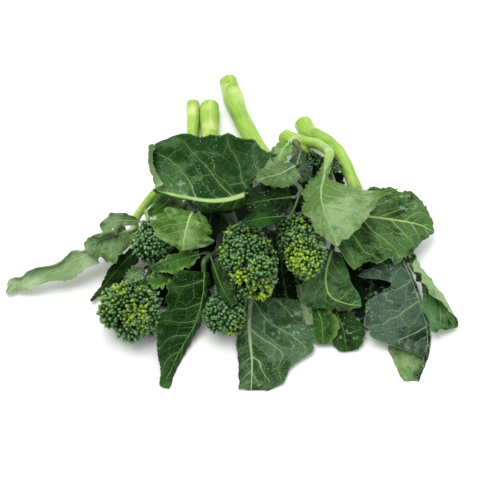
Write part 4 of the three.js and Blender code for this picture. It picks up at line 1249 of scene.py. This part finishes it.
def stalk_material():
    """A glossy yellow-green stalk with pale streaks and scars, a paler cut end, and dark green painted shade
    where it runs under the leaves.
    """
    material, tree, shader = new_material("stalk skin", Specular_IOR_Level=0.5)
    position = place_in(tree)
    lengthwise = {0: read(tree, "grain", "Vector"), 1: (1.0, 1.0, 0.07)}
    drawn_out = put(tree, "VectorMath", lengthwise, operation="MULTIPLY")["Vector"]
    streaks = rising(0.3, 0.75, noise(drawn_out, 1.1, 3))
    thick = mixed(streaks, (142, 188, 52), (176, 214, 90))
    thin = mixed(streaks, (136, 172, 92), (176, 204, 140))
    coats = [
        (rising(0.52, 0.72, noise(position, 60)), 0.5, (104, 152, 36)),
        (rising(0.56, 0.7, noise(position, 95)), 0.6, (200, 222, 124)),
        (rising(0.68, 0.72, noise(position, 230)), 0.6, (218, 226, 150)),
        (read(tree, "scarred"), 0.8, (226, 232, 150)),
        # painted shade where the stalk and petioles run under the leaves
        (read(tree, "painted_stalk_shade"), 1, (34, 68, 18)),
        (rising(0.9, 0.3, read(tree, "from_cut")), 1, (222, 234, 176)),
    ]
    skin = coated(mixed(rising(3.4, 1.4, read(tree, "slim")), thick, thin), coats)
    finish(shader, skin, streaks * 0.14 + 0.3, streaks, 0.35, 0.0003)
    return material


def head_material():
    """Waxy green buds with paler blue-green tips, partly a painted highlight, whose lower halves darken to
    near black as painted shade; some yellow, on pale stems over a near-black middle that is painted shade.
    """
    material, tree, shader = new_material("flower buds", Specular_IOR_Level=0.22)
    position = place_in(tree)
    tip, ripe, shade = (read(tree, key) for key in ("tip", "ripe", "shade"))
    # Paler towards each bud's tip, darker on its sides: partly the buds' own colour, partly a painted
    # highlight and shade.
    side = mixed(shade, (8, 34, 2), (40, 90, 12))
    top = mixed(shade, (50, 98, 38), (142, 190, 132))
    bud = mixed(rising(0.5, 0.95, tip), side, top)
    # Painted shade: each bud's lower half darkens to near black, as in the gaps between buds.
    bud = mixed(rising(0.45, 0.15, tip), bud, (1, 8, 0))
    yellow = mixed(rising(0.2, 0.9, tip), (86, 134, 8), (178, 210, 62))
    bud = mixed(rising(0.1, 0.8, ripe), bud, yellow)
    stem = mixed(shade, (30, 70, 12), (80, 124, 36))
    stem = mixed(rising(0.2, 0.9, ripe), stem, (110, 160, 40))
    skin = mixed(read(tree, "stem"), bud, stem)
    # Painted shade: the core is near black, filling the gaps between the clumps.
    skin = mixed(read(tree, "core"), skin, (1, 6, 0))
    mottle = rising(0.4, 0.7, noise(position, 500)) * 0.2
    skin = mixed(mottle, skin, (110, 146, 84))
    finish(shader, skin, mottle * 0.5 + 0.32, noise(position, 1600), 0.3, 0.0002)
    return material


# Table, light and camera

CAMERA_AIM = (0.0114, -0.0344, 0.018)
CAMERA_DISTANCE = 0.7
CAMERA_ELEVATION = math.radians(52)
CAMERA_LENS = 88.4  # on a sensor 36 mm wide
ROOM_LIGHT = 0.88
TABLE_WHITES = (0.91, 0.94)
TABLE_HALF = 3  # half of the table's width, in metres


def add_floor():
    """A plain white table, with a soft grain."""
    material, tree, shader = new_material("white table", Roughness=0.75)
    low, high = ((white, white, white, 1) for white in TABLE_WHITES)
    inputs = {0: noise(place_in(tree), 6), 6: low, 7: high}
    feed(shader, {"Base Color": put(tree, "Mix", inputs, data_type="RGBA")["Result_Color"]})
    bm = bmesh.new()
    bmesh.ops.create_grid(bm, x_segments=1, y_segments=1, size=TABLE_HALF)
    floor = object_from("table", bm, [material])


def add_light(name, place, size, power):
    """A soft square lamp of the given size in metres and power in watts, turned to the bunch."""
    lamp = bpy.data.lights.new(name, "AREA")
    lamp.shape = "SQUARE"
    lamp.size = size
    lamp.energy = power
    light = bpy.data.objects.new(name, lamp)
    light.location = place
    light.rotation_euler = (-Vector(place)).to_track_quat("-Z", "Y").to_euler()
    bpy.context.scene.collection.objects.link(light)


def add_lights():
    """A large lamp above and to the left, a small one behind, and an even room."""
    add_light("key lamp", (-0.35, -0.05, 1.5), 1.0, 14.5)
    add_light("back lamp", (0.1, 0.75, 0.9), 0.35, 2.5)
    world = bpy.data.worlds.new("room")
    world.use_nodes = True
    feed(world.node_tree.nodes["Background"], {"Color": (1, 1, 1, 1), "Strength": ROOM_LIGHT})
    bpy.context.scene.world = world


def add_camera():
    """The camera at the photograph's place: in front of the bunch, looking down on it."""
    camera = bpy.data.objects.new("camera", bpy.data.cameras.new("camera"))
    camera.data.lens = CAMERA_LENS
    away = Vector((0, -math.cos(CAMERA_ELEVATION), math.sin(CAMERA_ELEVATION)))
    camera.location = Vector(CAMERA_AIM) + away * CAMERA_DISTANCE
    camera.rotation_euler = away.to_track_quat("Z", "Y").to_euler()
    bpy.context.scene.collection.objects.link(camera)
    bpy.context.scene.camera = camera
    bpy.context.scene.view_settings.view_transform = "Standard"


add_camera()
add_lights()
add_floor()

veins, specks = vein_group(), speck_group()
leaf_skins = {name: leaf_material(name, veins, specks) for name in LEAF_COLOURS}
for number, (name, leaf) in enumerate(LEAVES.items()):
    settings = {**LEAF_DEFAULTS, **leaf, "seed": 20 + 3 * number}
    piece = leaf_piece(name + "_blade", settings, leaf_skins[settings["look"]])
    add_piece(piece, "leaf_" + name)

stalk_skin = stalk_material()
for name, tubes in STALKS.items():
    add_piece(stalk_piece(name, tubes, stalk_skin), "stalk_" + name)

bud_skin = head_material()
for name, head in HEADS.items():
    settings = {**HEAD_DEFAULTS, **head, **HEAD_LOOKS[name]}
    add_piece(head_piece(name + "_buds", settings, bud_skin), "head_" + name)

bpy.context.view_layer.update()
